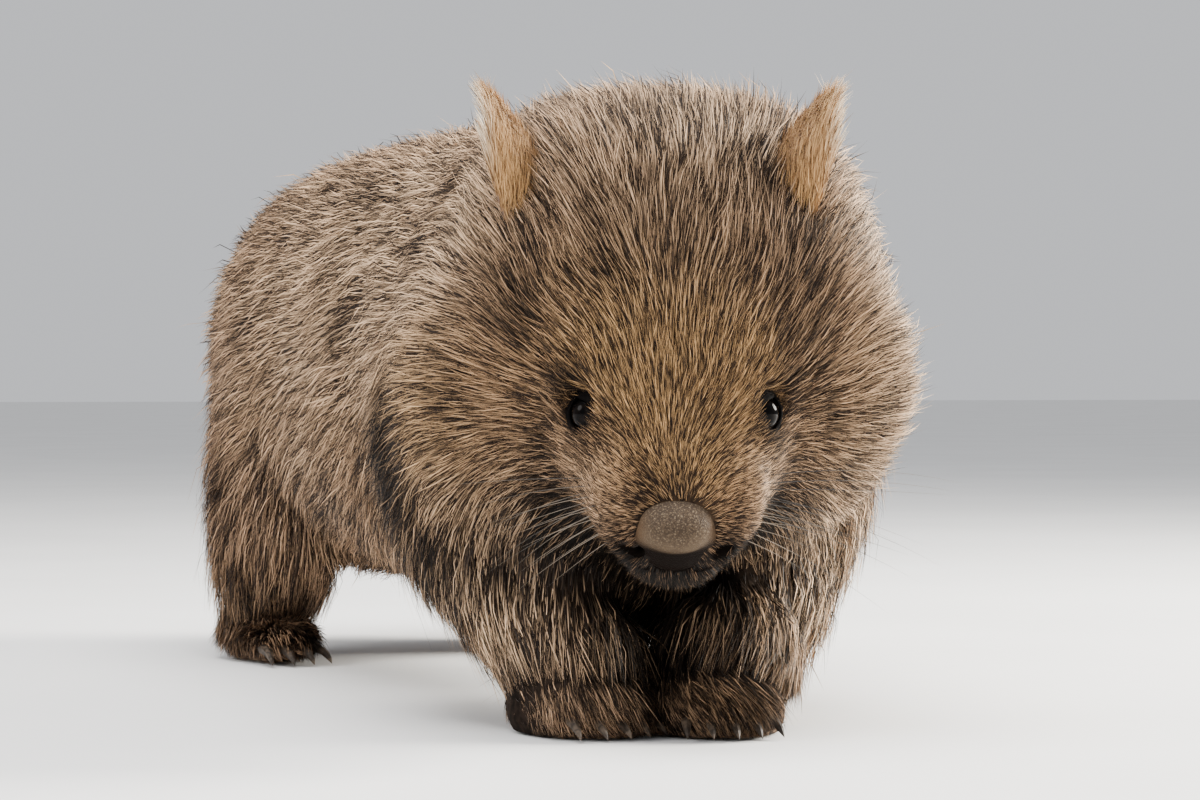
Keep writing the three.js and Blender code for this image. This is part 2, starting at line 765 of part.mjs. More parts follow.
fringe("foreleg_right", "forefoot_right", [98, 74, 50], [-155, -115, -75, -35, 5], SHAGGY);
fringe("foreleg_left", "forefoot_left", [98, 74, 50], [155, 115, 75, 35, -5], SHAGGY);
fringe("hindleg_right", "hindfoot_right", [84, 56], [-170, -120, -70], SHAGGY);
fringe("hindleg_left", "hindfoot_left", [84, 56], [170, 120, 70], SHAGGY);

for (const { owner, made } of grown) {
  const node = nodes.get(owner);
  node.made = node.made.add(made);
}

// The whole animal, standing with the middle of its box over the origin and its soles on the floor
for (const [name, { made, group, finish }] of nodes) addPiece(group, name, largest(made), finish);
const wombat = new THREE.Group();
wombat.add(trunkGroup);
const box = new THREE.Box3().setFromObject(wombat, true);
const middle = box.getCenter(new THREE.Vector3());
wombat.position.set(-middle.x, -middle.y, -box.min.z);

export default wombat;
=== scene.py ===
# A common wombat, still and life-size, walking with its broad head lowered.
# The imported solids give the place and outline; skin, coat, face and claws are made here round them.
import math

import bpy
import numpy as np
from mathutils import Matrix, Vector, kdtree


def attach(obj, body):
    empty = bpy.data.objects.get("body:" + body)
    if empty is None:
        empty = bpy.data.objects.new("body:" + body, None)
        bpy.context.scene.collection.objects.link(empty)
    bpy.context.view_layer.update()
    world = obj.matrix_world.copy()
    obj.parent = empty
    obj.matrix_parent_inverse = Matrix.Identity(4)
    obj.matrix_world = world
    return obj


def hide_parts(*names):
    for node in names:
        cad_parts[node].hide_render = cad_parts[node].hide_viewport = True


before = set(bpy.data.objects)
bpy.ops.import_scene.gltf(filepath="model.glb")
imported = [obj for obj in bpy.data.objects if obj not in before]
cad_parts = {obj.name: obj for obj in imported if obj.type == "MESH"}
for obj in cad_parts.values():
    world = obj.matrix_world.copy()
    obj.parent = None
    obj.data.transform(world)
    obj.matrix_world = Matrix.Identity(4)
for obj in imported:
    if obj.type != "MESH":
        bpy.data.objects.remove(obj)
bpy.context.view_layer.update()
rng = np.random.default_rng(21)

# The studio: a pale floor, a large soft lamp above, a strong one at the animal's left and weaker
# ones in front and at its right, and a long lens low over the floor, looking along its right side.
VIEW_TURN = math.radians(21.0)
VIEW_DROP = math.radians(0.27)
VIEW_PLACE = Vector((-0.6171, -1.7095, 0.170))


def put(name, data):
    """A new object in the scene that shows a mesh, curve, lamp or lens."""
    thing = bpy.data.objects.new(name, data)
    bpy.context.scene.collection.objects.link(thing)
    return thing


level = math.cos(VIEW_DROP)
ahead = Vector((math.sin(VIEW_TURN) * level, math.cos(VIEW_TURN) * level, -math.sin(VIEW_DROP)))
view = ahead.to_track_quat("-Z", "Y").to_matrix().to_4x4()
view.translation = VIEW_PLACE
lens = bpy.data.cameras.new("camera")
lens.lens = 95.3
lens.sensor_width = 36.0
lens.clip_end = 50.0
camera = put("camera", lens)
camera.matrix_world = view
bpy.context.scene.camera = camera


def lamp(name, place, aim, size, power, colour):
    """A soft round lamp that points at a spot on the animal; sizes in m, power in W."""
    light = bpy.data.lights.new(name, "AREA")
    light.shape = "DISK"
    light.size = size
    light.energy = power
    light.color = colour
    thing = put(name, light)
    thing.location = place
    thing.rotation_euler = (Vector(aim) - Vector(place)).to_track_quat("-Z", "Y").to_euler()


lamp("sky", (-0.2, -0.3, 2.4), (0.0, 0.0, 0.2), 2.2, 128.0, (1.0, 0.98, 0.96))
lamp("front", (-1.3, -2.2, 1.3), (0.0, -0.2, 0.2), 1.2, 4.0, (1.0, 0.98, 0.95))
lamp("left", (-2.2, -0.2, 1.3), (0.0, 0.0, 0.2), 1.2, 36.0, (1.0, 0.98, 0.96))
lamp("right", (2.0, -0.35, 1.0), (0.0, -0.25, 0.2), 1.0, 215.0, (1.0, 0.95, 0.86))

world = bpy.data.worlds.new("studio")
world.use_nodes = True
sky = world.node_tree.nodes["Background"].inputs
sky["Color"].default_value = (0.9, 0.915, 0.95, 1.0)
sky["Strength"].default_value = 0.78
bpy.context.scene.world = world

floor_mesh = bpy.data.meshes.new("floor")
FLOOR_REACH = 30.0
floor_corners = [(x * FLOOR_REACH, y * FLOOR_REACH, 0) for x, y in ((-1, -1), (1, -1), (1, 1), (-1, 1))]
floor_mesh.from_pydata(floor_corners, [], [(0, 1, 2, 3)])
floor = put("floor", floor_mesh)


class Wire:
    """A value on its way through a material; arithmetic on it adds Math nodes."""

    def __init__(self, tree, socket):
        self.tree = tree
        self.socket = socket

    def node(self, kind, values, settings=(), out=0):
        """Add any node: its settings first, then the values or links of its sockets."""
        made = self.tree.nodes.new(kind)
        for key, value in dict(settings).items():
            setattr(made, key, value)
        for key, value in values.items():
            if isinstance(value, Wire):
                self.tree.links.new(value.socket, made.inputs[key])
            else:
                made.inputs[key].default_value = value
        return Wire(self.tree, made.outputs[out])

    def maths(self, operation, first, second):
        return self.node("ShaderNodeMath", {0: first, 1: second}, {"operation": operation})

    def __add__(self, other):
        return self.maths("ADD", self, other)

    def __sub__(self, other):
        return self.maths("SUBTRACT", self, other)

    def __rsub__(self, other):
        return self.maths("SUBTRACT", other, self)

    def __mul__(self, other):
        return self.maths("MULTIPLY", self, other)

    def clamp(self):
        return self.node("ShaderNodeClamp", {0: self})

    def between(self, low, high):
        """0 below `low`, 1 above `high`, smooth between them."""
        values = {"Value": self, "From Min": low, "From Max": high, "To Min": 0.0, "To Max": 1.0}
        return self.node("ShaderNodeMapRange", values, {"interpolation_type": "SMOOTHSTEP"})

    def noise(self, scale, detail=2.0, distortion=0.0):
        """Cloudy noise over the place that this wire carries."""
        values = {"Vector": self, "Scale": scale, "Detail": detail, "Distortion": distortion}
        return self.node("ShaderNodeTexNoise", values)

    def relief(self, strength, depth):
        """A surface raised and lowered by this wire, by up to `depth` m."""
        return self.node("ShaderNodeBump", {"Height": self, "Strength": strength, "Distance": depth})

    def choose(self, colour_a, colour_b):
        """Colour a where this value is 0, colour b where it is 1."""
        made = self.tree.nodes.new("ShaderNodeMix")
        made.data_type = "RGBA"
        self.tree.links.new(self.socket, made.inputs[0])
        for place, colour in ((6, colour_a), (7, colour_b)):
            if isinstance(colour, Wire):
                self.tree.links.new(colour.socket, made.inputs[place])
            else:
                made.inputs[place].default_value = (*colour, 1.0)
        return Wire(self.tree, made.outputs[2])


def material(name, fixed):
    """A new material, its shader with the fixed values set, and a Wire to start from."""
    made = bpy.data.materials.new(name)
    made.use_nodes = True
    tree = made.node_tree
    shader = tree.nodes["Principled BSDF"]
    for key, value in fixed.items():
        shader.inputs[key].default_value = value
    place = Wire(tree, tree.nodes.new("ShaderNodeTexCoord").outputs["Object"])
    return made, shader, place


def feed(shader, **links):
    """Link wires to the shader's sockets, named with _ for a space."""
    for key, wire in links.items():
        wire.tree.links.new(wire.socket, shader.inputs[key.replace("_", " ")])


floor_material, shader, place = material("pale_floor", {"Roughness": 0.85})
grain = place.noise(3.0, 4.0)
feed(shader, Base_Color=grain.between(0.3, 0.7).choose((0.76, 0.76, 0.755), (0.8, 0.8, 0.795)))
floor_mesh.materials.append(floor_material)

# Skin: one closed hide over the trunk, head and legs, dark and matt, stretched over the flesh. Its
# shape is a sum of rounded masses (mm) that run into each other, drawn in by the coat's depth.
MM = 0.001
SHIFT = np.array([5.710, -0.487, 0.0])
SPINE_BEND = -14.0
HEAD_CENTRE = np.array([-39.0, -278.0, 189.0])
HEAD_TURN = math.radians(-18.0)
HEAD_TIP = math.radians(35.0)
EYE_RADIUS = 8.6
EYE_SPACING = 74.0
SKIN_STEP = 3.4
head_axes = np.array(Matrix.Rotation(HEAD_TURN, 3, "Z") @ Matrix.Rotation(HEAD_TIP, 3, "X"))


def to_head(p):
    """Points of the whole (mm) in the head's own frame: -y to the nose, +z to the crown, +x left."""
    return (p - HEAD_CENTRE) @ head_axes


def from_head(p):
    return np.asarray(p, float) @ head_axes.T + HEAD_CENTRE


def way_from_head(v):
    return np.asarray(v, float) @ head_axes.T


def mass(centre, halves, power=2.0):
    """Distance to a rounded mass: an ellipsoid at power 2, boxier above it."""
    centre = np.array(centre, float)
    halves = np.array(halves, float)

    def outside(p):
        q = np.abs(p - centre) / halves + 1e-6
        swollen = q ** (power - 1.0)
        total = (swollen * q).sum(1)
        slope = np.sqrt(((swollen / halves) ** 2).sum(1))
        return (total ** (1 / power) - 1) / (total ** (1 / power - 1) * slope)

    return outside


def limb(start, end, start_radius, end_radius):
    """Distance to a round limb that tapers from one end to the other."""
    start = np.array(start, float)
    along = np.array(end, float) - start

    def outside(p):
        share = np.clip(((p - start) @ along) / (along @ along), 0, 1)
        reach = np.linalg.norm(p - start - share[:, None] * along, axis=1)
        return reach - (start_radius + share * (end_radius - start_radius))

    return outside


def merge(softness, *parts):
    """The smooth union of distances already measured."""
    near = parts[0]
    for part in parts[1:]:
        share = np.maximum(softness - np.abs(near - part), 0) / softness
        near = np.minimum(near, part) - share * share * softness / 4
    return near


def blend(softness, *fields):
    return lambda p: merge(softness, *(field(p) for field in fields))


BACK, BELLY, HALF_WIDTH = 322.0, 52.0, 138.0
middle = (BACK + BELLY) / 2
half_height = (BACK - BELLY) / 2
SIDES = ((1, "left"), (-1, "right"))

trunk_field = blend(
    44,
    mass([0, 50, middle], [HALF_WIDTH - 3, 240, half_height], 2.7),
    mass([0, 226, middle - 4], [HALF_WIDTH - 1, 144, half_height - 2], 2.35),
    mass([SPINE_BEND, -150, 182], [122, 132, 132], 2.3),
    mass([SPINE_BEND * 1.4, -214, 220], [107, 90, 97], 2.6),
    mass([SPINE_BEND * 1.8, -200, 162], [118, 74, 104], 2.2),
    mass([SPINE_BEND * 2, -256, 250], [84, 66, 62], 2.3),
    *(mass([s * 76 + SPINE_BEND, -160, 128], [48, 74, 74], 2.2) for s, _ in SIDES),
)
skull_field = blend(
    34,
    mass([0, 20, 8], [98, 78, 74], 2.3),
    mass([0, 44, 42], [88, 62, 60], 2.4),
    *(mass([s * 67, 18, -28], [59, 60, 62], 2.1) for s, _ in SIDES),
    *(mass([s * 40, -10, -20], [44, 42, 52]) for s, _ in SIDES),
    *(mass([s * 50, 18, -70], [50, 50, 40]) for s, _ in SIDES),
    mass([0, -8, -56], [60, 58, 38], 2.1),
    mass([0, -40, -4], [44, 50, 42], 2.2),
)
muzzle_field = blend(
    24,
    mass([0, -88, -22], [41, 41, 29], 2.5),
    mass([0, -82, -48], [31, 34, 18], 2.1),
)
head_field = blend(34, skull_field, muzzle_field)

# Each leg runs down through these spots: x, y, z and the radius there.
FORELEGS = {
    "right": [
        [-84, -160, 150, 58], [-92, -186, 105, 45], [-86, -212, 72, 38], [-74, -236, 42, 32],
        [-73, -244, 24, 24],
    ],
    "left": [
        [56, -160, 150, 58], [52, -190, 105, 45], [36, -216, 72, 40], [5, -250, 42, 33],
        [-10, -264, 24, 24],
    ],
}
FOREFEET = {"right": [-72, -254, 15], "left": [-15, -274, 15]}
HIND_SHIFT = {"right": 0, "left": 34}


def leg_field(chain, *masses):
    links = [limb(a[:3], b[:3], a[3], b[3]) for a, b in zip(chain, chain[1:])]
    return blend(18, *links, *masses)


leg_chains, leg_fields = {}, {}
for s, side in SIDES:
    chain = FORELEGS[side]
    leg_chains["fore_" + side] = chain
    leg_fields["fore_" + side] = leg_field(chain, mass(FOREFEET[side], [27, 33, 17], 2.3))
    back = HIND_SHIFT[side]
    chain = [
        [s * 96, 210 + back, 110, 46], [s * 104, 216 + back, 62, 37],
        [s * 106, 222 + back, 34, 29], [s * 107, 214 + back, 20, 24],
    ]
    foot = mass([s * 107, 196 + back, 15], [27, 50, 17], 2.3)
    thigh = mass([s * 97, 214 + back * 0.6, 104], [46, 86, 78], 2.2)
    leg_chains["hind_" + side] = chain
    leg_fields["hind_" + side] = leg_field(chain, foot, thigh)


def ease(value, low, high):
    """0 below `low`, 1 above `high`, smooth between them."""
    share = np.clip((value - low) / (high - low), 0, 1)
    return share * share * (3 - 2 * share)


def near_spot(p, spot, radius):
    """1 at a spot, falling off smoothly to about a third at `radius` from it."""
    return np.exp(-((p - spot) ** 2).sum(1) / radius ** 2)


def coat_depth(p):
    """How far the coat's tips stand off the hide at each point, in mm."""
    h = to_head(p)
    ahead = -h[:, 1]
    depth = 15.0 - 5.5 * ease(ahead, -40, 30) - 5.0 * ease(ahead, 25, 80) - 2.8 * ease(ahead, 82, 108)
    depth = depth - 4.0 * (1 - ease(p[:, 2], 10, 70)) - 6.0 * (1 - ease(p[:, 2], 4, 34))
    for s, _ in SIDES:
        depth = depth - np.minimum(3.4, depth - 1.5) * near_spot(h, eye_places[s], 17.0)
    return depth


def hollows(p):
    """How much deeper still the hide lies: at the crown, the back and the sides of the jaw."""
    h = to_head(p)

    def hollow(centre, halves):
        return np.exp(-(((h - np.array(centre)) / np.array(halves)) ** 2).sum(1))

    crown = 9.0 * hollow([0.0, 56.0, 92.0], [78.0, 60.0, 44.0])
    jaw = [hollow([s * 36.0 - 2, -100.0, -54.0], [15.0, 26.0, 17.0]) for s, _ in SIDES]
    return 2.5 * (1 - ease(-h[:, 1], -60, 0)) + crown + 9.0 * (jaw[0] + jaw[1])


SOCKET_ROOM = 1.6


def hide(p):
    """The bare animal: below 0 inside the skin, above 0 outside it."""
    h = to_head(p)
    depth = coat_depth(p) + hollows(p)
    body = merge(26, trunk_field(p) + depth, head_field(h) + depth)
    legs = np.minimum.reduce([field(p) for field in leg_fields.values()]) + depth
    body = merge(20, body, legs)
    for s, _ in SIDES:
        socket = np.linalg.norm(h - eye_places[s], axis=1) - (EYE_RADIUS + SOCKET_ROOM)
        body = -merge(4, -body, socket)
    body = -merge(5, -body, under_nose(h))
    body = merge(7, body, wings(h))
    body = -merge(2.5, -body, nostril_field(h))
    body = -merge(2.5, -body, mouth_line(h))
    return np.maximum(body, 0.6 - p[:, 2])


under_nose = mass([-2, -138, -44], [24, 14, 13], 2.2)
wings = blend(3, *(mass([s * 18 - 2, -111, -22], [12, 12.5, 8], 2.1) for s, _ in SIDES))
nostril_field = blend(
    3,
    *(limb([s * 13 - 2, -133, -31], [s * 21 - 2, -124, -29], 1.6, 3.2) for s, _ in SIDES),
    *(limb([s * 21 - 2, -124, -29], [s * 26 - 2, -116, -27], 3.2, 1.2) for s, _ in SIDES),
    *(limb([s * 19 - 2, -128, -30], [s * 12 - 2, -106, -27], 3.4, 2.4) for s, _ in SIDES),
)
mouth_line = blend(
    2,
    *(limb([-2, -128, -43], [s * 17 - 2, -121, -39], 1.4, 1.6) for s, _ in SIDES),
    *(limb([s * 17 - 2, -121, -39], [s * 27 - 2, -111, -36], 1.5, 0.8) for s, _ in SIDES),
)


SLOPE_STEP = 0.6


def slopes(field, points):
    """Which way the surface of a field faces at each point."""
    steps = np.eye(3) * SLOPE_STEP
    return np.stack([field(points + d) - field(points - d) for d in steps], 1) / (2 * SLOPE_STEP)


def surface_along(field, start, way):
    """Where a straight line out of a field crosses its surface."""
    start, way = np.array(start, float), np.array(way, float)
    way /= np.linalg.norm(way)
    low, high = 0.0, 260.0
    for _ in range(40):
        half = (low + high) / 2
        if field((start + way * half)[None])[0] < 0:
            low = half
        else:
            high = half
    return start + way * high


EYE_SUNK = 0.4
eye_places, eye_ways = {}, {}
for s, _ in SIDES:
    inside = np.array([s * 10.0, -30.0, 0.0])
    lid_spot = np.array([s * EYE_SPACING / 2, -62, 7])
    skin_spot = surface_along(head_field, inside, lid_spot - inside)
    way = slopes(head_field, skin_spot[None])[0] + np.array([s * 0.1, -0.4, 0.0])
    way /= np.linalg.norm(way)
    eye_ways[s] = way
    eye_places[s] = skin_spot + way * (-EYE_SUNK - EYE_RADIUS)


def net_over(field, low, high, step, coarse=4):
    """A closed net of squares over the zero surface of a field, in a box (mm)."""
    low, high = np.array(low, float), np.array(high, float)
    blocks = np.ceil((high - low) / (step * coarse)).astype(int)
    sizes = blocks * coarse + 1
    axes = [low[k] + step * np.arange(sizes[k]) for k in range(3)]
    rough_axes = [axis[::coarse] for axis in axes]
    grid = np.stack(np.meshgrid(*rough_axes, indexing="ij"), -1)
    rough = field(grid.reshape(-1, 3)).reshape(grid.shape[:3])
    near = np.abs(rough) < step * coarse * 1.9
    block_near = np.zeros(tuple(blocks), bool)
    block_sign = rough[:-1, :-1, :-1]
    for i in (0, 1):
        for j in (0, 1):
            for k in (0, 1):
                block_near |= near[i:blocks[0] + i, j:blocks[1] + j, k:blocks[2] + k]
    value = np.ones(tuple(sizes)) * 1e3
    spread = np.repeat(np.repeat(np.repeat(block_sign, coarse, 0), coarse, 1), coarse, 2)
    value[:-1, :-1, :-1] = np.where(spread < 0, -1e3, 1e3)
    wanted = np.zeros(tuple(sizes), bool)
    cells = np.argwhere(block_near) * coarse
    offsets = np.stack(np.meshgrid(*[np.arange(coarse + 1)] * 3, indexing="ij"), -1).reshape(-1, 3)
    spots = (cells[:, None] + offsets[None]).reshape(-1, 3)
    wanted[spots[:, 0], spots[:, 1], spots[:, 2]] = True
    spots = np.argwhere(wanted)
    points = np.stack([axes[k][spots[:, k]] for k in range(3)], 1)
    batches = np.array_split(points, max(1, len(points) // 200000))
    value[wanted] = np.concatenate([field(batch) for batch in batches])

    inside = value < 0
    counts = np.zeros(tuple(sizes - 1))
    sums = np.zeros((*(sizes - 1), 3))
    crossings = []
    for axis in range(3):
        first = [slice(None)] * 3
        second = [slice(None)] * 3
        first[axis] = slice(0, -1)
        second[axis] = slice(1, None)
        crossing = inside[tuple(first)] != inside[tuple(second)]
        at = np.argwhere(crossing)
        a = value[tuple(first)][crossing]
        b = value[tuple(second)][crossing]
        place = at.astype(float)
        place[:, axis] += a / (a - b)
        others = [k for k in range(3) if k != axis]
        for back_one in (0, 1):
            for back_two in (0, 1):
                cell = at.copy()
                cell[:, others[0]] -= back_one
                cell[:, others[1]] -= back_two
                fits = ((cell >= 0) & (cell < sizes - 1)).all(1)
                where = tuple(cell[fits].T)
                np.add.at(counts, where, 1)
                for k in range(3):
                    np.add.at(sums[..., k], where, place[fits, k])
        crossings.append((axis, others, at, inside[tuple(first)][crossing]))
    filled = counts > 0
    number = np.full(tuple(sizes - 1), -1)
    number[filled] = np.arange(filled.sum())
    points = low + step * sums[filled] / counts[filled][:, None]
    faces = []
    for axis, (one, two), at, starts_inside in crossings:
        ring = []
        for back_one, back_two in ((1, 1), (0, 1), (0, 0), (1, 0)):
            cell = at.copy()
            cell[:, one] -= back_one
            cell[:, two] -= back_two
            ring.append(number[tuple(cell.T)])
        ring = np.stack(ring, 1)
        flip = starts_inside == (axis == 1)
        ring[flip] = ring[flip][:, ::-1]
        faces.append(ring)
    return points, np.concatenate(faces)


def settle(field, points, faces, rounds=3, ease_by=0.5):
    """Even out a net and lay it back on the field's surface."""
    for _ in range(rounds):
        total = np.zeros_like(points)
        count = np.zeros(len(points))
        for a, b in ((0, 1), (1, 2), (2, 3), (3, 0)):
            for one, two in ((a, b), (b, a)):
                np.add.at(total, faces[:, one], points[faces[:, two]])
                np.add.at(count, faces[:, one], 1)
        points = points + ease_by * (total / count[:, None] - points)
        for _ in range(2):
            slope = slopes(field, points)
            size = np.maximum((slope ** 2).sum(1), 0.2)
            step = np.clip(field(points) / size, -2.5, 2.5)
            points = points - slope * step[:, None]
    return points


def mesh_piece(name, points, faces, material_used):
    """A finished piece from points (m) and faces, standing at the origin."""
    faces = np.asarray(faces)
    mesh = bpy.data.meshes.new(name)
    corners = faces.shape[1]
    mesh.vertices.add(len(points))
    mesh.vertices.foreach_set("co", np.asarray(points, np.float32).ravel())
    mesh.loops.add(faces.size)
    mesh.loops.foreach_set("vertex_index", faces.astype(np.int32).ravel())
    mesh.polygons.add(len(faces))
    mesh.polygons.foreach_set("loop_start", np.arange(0, faces.size, corners, dtype=np.int32))
    mesh.update(calc_edges=True)
    mesh.validate()
    mesh.polygons.foreach_set("use_smooth", np.full(len(mesh.polygons), True))
    mesh.materials.append(material_used)
    return put(name, mesh)


def to_metres(points):
    return (np.asarray(points) + SHIFT) * MM


WAVES = 7


def weave(p, size, seed):
    """A slow, random-looking value between about -1 and 1 that changes over `size` mm."""
    waves = np.random.default_rng(seed)
    total = np.zeros(len(p))
    for _ in range(WAVES):
        way = waves.normal(size=3)
        way /= np.linalg.norm(way)
        total += np.sin(p @ way * (2 * math.pi / size) * waves.uniform(0.6, 1.5) + waves.uniform(0, 6.3))
    return total / math.sqrt(WAVES)


def unit(v):
    return v / np.maximum(np.linalg.norm(v, axis=1), 1e-9)[:, None]


def shares(p):
    """How far each point belongs to the head, the trunk and each of the four legs."""
    h = to_head(p)
    parts = np.stack([head_field(h), trunk_field(p), *(field(p) for field in leg_fields.values())], 1)
    weight = np.exp(-(parts - parts.min(1)[:, None]) / 9.0)
    return weight / weight.sum(1)[:, None]


# What the coat's colours follow: gold, pale and dark patches, each a spot (mm), a radius and a
# strength, placed on the head in the head's own frame and on the body in the whole's. Many dark
# patches are painted shade: on the chin, throat and lips, at the corners of the eyes, under the
# belly and between the forelegs. Behind the cheeks they are a painted shadow. The pale patches of
# the left cheek and the crown are paler fur with painted light on top.
HEAD_MARKS_AND_SHADING = {
    "gold": [
        ((0, -78, 12), 46, 1.0), ((0, -48, 34), 40, 0.5),  # bridge of the muzzle
        ((108, 0, -28), 58, 1.0), ((-108, 0, -28), 58, 1.0),  # cheeks
        ((-34, -62, 24), 12, 0.9), ((34, -62, 24), 12, 0.9),  # brows
        ((0, -112, 2), 20, 0.6),  # above the nose
    ],
    "pale": [
        ((40, -98, -20), 18, 0.4), ((-42, -98, -20), 18, 0.35),  # sides of the muzzle
        ((98, 34, 46), 34, 1.0), ((-98, 34, 46), 42, 1.0),  # below the ears
        ((110, 26, 0), 36, 0.55), ((-110, 26, 0), 36, 0.35), ((96, 10, -60), 50, 1.0),
        ((108, -10, -16), 46, 0.8), ((-96, 10, -66), 44, 0.1),  # outer cheeks, with the line above: pale fur, much paler on the left cheek as painted light
        ((0, 40, 90), 64, 0.9), ((34, 24, 84), 26, 0.4),  # crown: paler fur, brightened further by painted light from above
    ],
    "dark": [
        ((0, -112, -52), 20, 0.5), ((26, -108, -46), 16, 0.6), ((-30, -108, -46), 16, 0.6),  # chin: dark short hair, darkened further by painted shade
        ((0, -60, -80), 58, 0.7), ((-50, -60, -62), 30, 0.7), ((44, -64, -62), 28, 0.6),  # throat: painted shade under the chin
        ((17, -122, -36), 11, 0.9), ((-21, -122, -36), 11, 0.9),  # lips, and under the nose on the next line: dark skin, darkened further by painted shade
        ((17, -119, -23), 10, 0.6), ((-2, -128, -38), 12, 1.0), ((-21, -119, -23), 10, 0.6),
        ((33, -73, 0), 12, 1.0), ((-33, -73, 0), 12, 1.0),  # inner corners of the eyes, and round the eyes on the next line: painted shade
        ((46, -61, 10), 9, 0.7), ((-47, -62, 15), 10, 0.9),
        ((34, 22, 84), 30, 0.25), ((-66, -34, 34), 16, 0.5),  # crown and temple
        ((0, -116, 4), 9, 0.2), ((0, -20, 56), 46, 0.25),  # above the nose, forehead
    ],
}
BODY_MARKS_AND_SHADING = {
    "gold": [((-130, -40, 190), 120, 0.35)],
    "pale": [
        ((-110, -230, 80), 56, 0.8), ((70, -235, 80), 56, 0.9),  # forelegs
        ((-120, -110, 250), 100, 1.0), ((-20, -250, 90), 60, 0.6),  # shoulder and breast
        ((-135, 80, 240), 120, 0.7),  # flank
    ],
    "dark": [
        ((0, 0, 40), 90, 0.7), ((-25, -230, 70), 50, 0.35),  # belly and breast: painted shade under the belly and between the forelegs
        ((-75, -262, 8), 40, 0.15), ((-12, -284, 8), 40, 0.3),  # paws
        ((-132, -176, 140), 46, 1.0), ((106, -176, 140), 42, 0.1),  # behind the cheeks: a painted shadow, near black on the right side
        # Low by the right hind leg; then painted shade between the forelegs.
        ((-110, 200, 30), 60, 0.4), ((-24, -250, 40), 30, 0.7),
    ],
}


def markings_and_shading(p, part):
    """How gold, pale and dark the coat is at each point, 0 to 1 each; dark holds painted shade, pale some
    painted light.
    """
    h = to_head(p)
    found = np.zeros((len(p), 3))
    for k, name in enumerate(("gold", "pale", "dark")):
        for places, table in ((h, HEAD_MARKS_AND_SHADING), (p, BODY_MARKS_AND_SHADING)):
            for spot, radius, strength in table[name]:
                found[:, k] += strength * near_spot(places, np.array(spot), radius)
    streaks = weave(p * np.array([1.0, 0.5, 0.8]), 34, seed=14)
    found[:, 2] += 0.3 * ease(weave(p, 70, seed=11), 0.1, 1.3) + 0.25 * ease(streaks, 0.2, 1.4)
    found[:, 0] += 0.25 * ease(weave(p, 90, seed=12), 0.0, 1.5)
    found[:, 1] += 0.3 * ease(-streaks, 0.2, 1.4) * part[:, 1]
    return found.clip(0, 1)


def keep(mesh, name, values):
    """Store a value or a vector for each vertex, for the materials to read."""
    kind = "FLOAT" if values.ndim == 1 else "FLOAT_VECTOR"
    layer = mesh.attributes.new(name, kind, "POINT")
    layer.data.foreach_set("value" if values.ndim == 1 else "vector", values.astype(np.float32).ravel())


def attribute(place, name, out):
    return place.node("ShaderNodeAttribute", {}, {"attribute_name": name}, out)


HIDE_BOX = [-190, -440, -8], [190, 400, 345]
skin_points, skin_faces = net_over(hide, *HIDE_BOX, SKIN_STEP)
skin_points = settle(hide, skin_points, skin_faces)

skin_facing = unit(slopes(hide, skin_points))
skin_part = shares(skin_points)
skin_marks_and_shading = markings_and_shading(skin_points, skin_part)

hide_material, shader, place = material("hide", {"Roughness": 0.9, "Specular IOR Level": 0.03})
folds_and_shade = place.noise(260.0, 3.0)
marks_and_shading = attribute(place, "marks_and_shading", "Vector")
gold, pale, dark = (marks_and_shading.node("ShaderNodeSeparateXYZ", {0: marks_and_shading}, out=k) for k in range(3))
under = gold.choose((0.030, 0.020, 0.015), (0.075, 0.044, 0.024))
under = (pale * 0.35).choose(under, (0.085, 0.065, 0.048))
# Painted shade: the hide is darker where its folds sink.
under = folds_and_shade.between(0.3, 0.7).choose((0.012, 0.009, 0.007), under)
# The dark patches, painted shade and a painted shadow among them, darken the hide near black.
under = (dark * 1.2).clamp().choose(under, (0.0022, 0.0014, 0.001))
feed(shader, Base_Color=under)
feed(shader, Normal=folds_and_shade.relief(0.4, 0.001))
skin = mesh_piece("skin", to_metres(skin_points), skin_faces, hide_material)
keep(skin.data, "marks_and_shading", skin_marks_and_shading)
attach(skin, "root")
separate = ("eye", "claw", "nose", "ear")
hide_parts(*(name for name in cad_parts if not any(word in name for word in separate)))

# Nose: a broad pad of bare, granular, grey-brown leather with a smooth lower rim over a dark lip,
# between soft furred wings that belong to the hide; below the rim the colour is near black, dark
# leather with painted shade under the rim. The nostrils are hollows under the wings.
nose_parts = blend(
    7,
    mass([-2, -119, -15.4], [17.5, 18.5, 12], 2.3),
    *(mass([s * 14 - 2, -114, -23], [10, 12.5, 8], 2.1) for s, _ in SIDES),
    mass([-2, -115, -31], [18, 14, 13], 2.0),
)
groove_field = limb([-2, -134, -33], [-2, -126, -46], 0.7, 1.0)


def nose_field(h):
    pad = -merge(2.5, -nose_parts(h), nostril_field(h))
    pad = -merge(2.0, -pad, mouth_line(h))
    return -merge(1.5, -pad, groove_field(h))


NOSE_STEP = 0.8
NOSE_BOX = [-40, -145, -52], [38, -88, 6]
nose_points, nose_faces = net_over(nose_field, *NOSE_BOX, NOSE_STEP)
nose_points = settle(nose_field, nose_points, nose_faces, 2)
nose_material, shader, place = material("nose_leather", {"Specular IOR Level": 0.04})
pebbles_and_seam_shade = place.node("ShaderNodeTexVoronoi", {"Vector": place, "Scale": 1200.0}, out=0)
speckle = place.noise(1100.0, 4.0)
cloud = place.noise(60.0, 3.0)


def run_along(way, start):
    """How far a place lies along a way named on the head, past a spot on the head (m)."""
    way = tuple(float(v) for v in way_from_head(way))
    offset = float(np.dot(way, to_metres(from_head(start))))
    spread = place.node("ShaderNodeVectorMath", {0: place, 1: way}, {"operation": "DOT_PRODUCT"}, "Value")
    return spread - offset


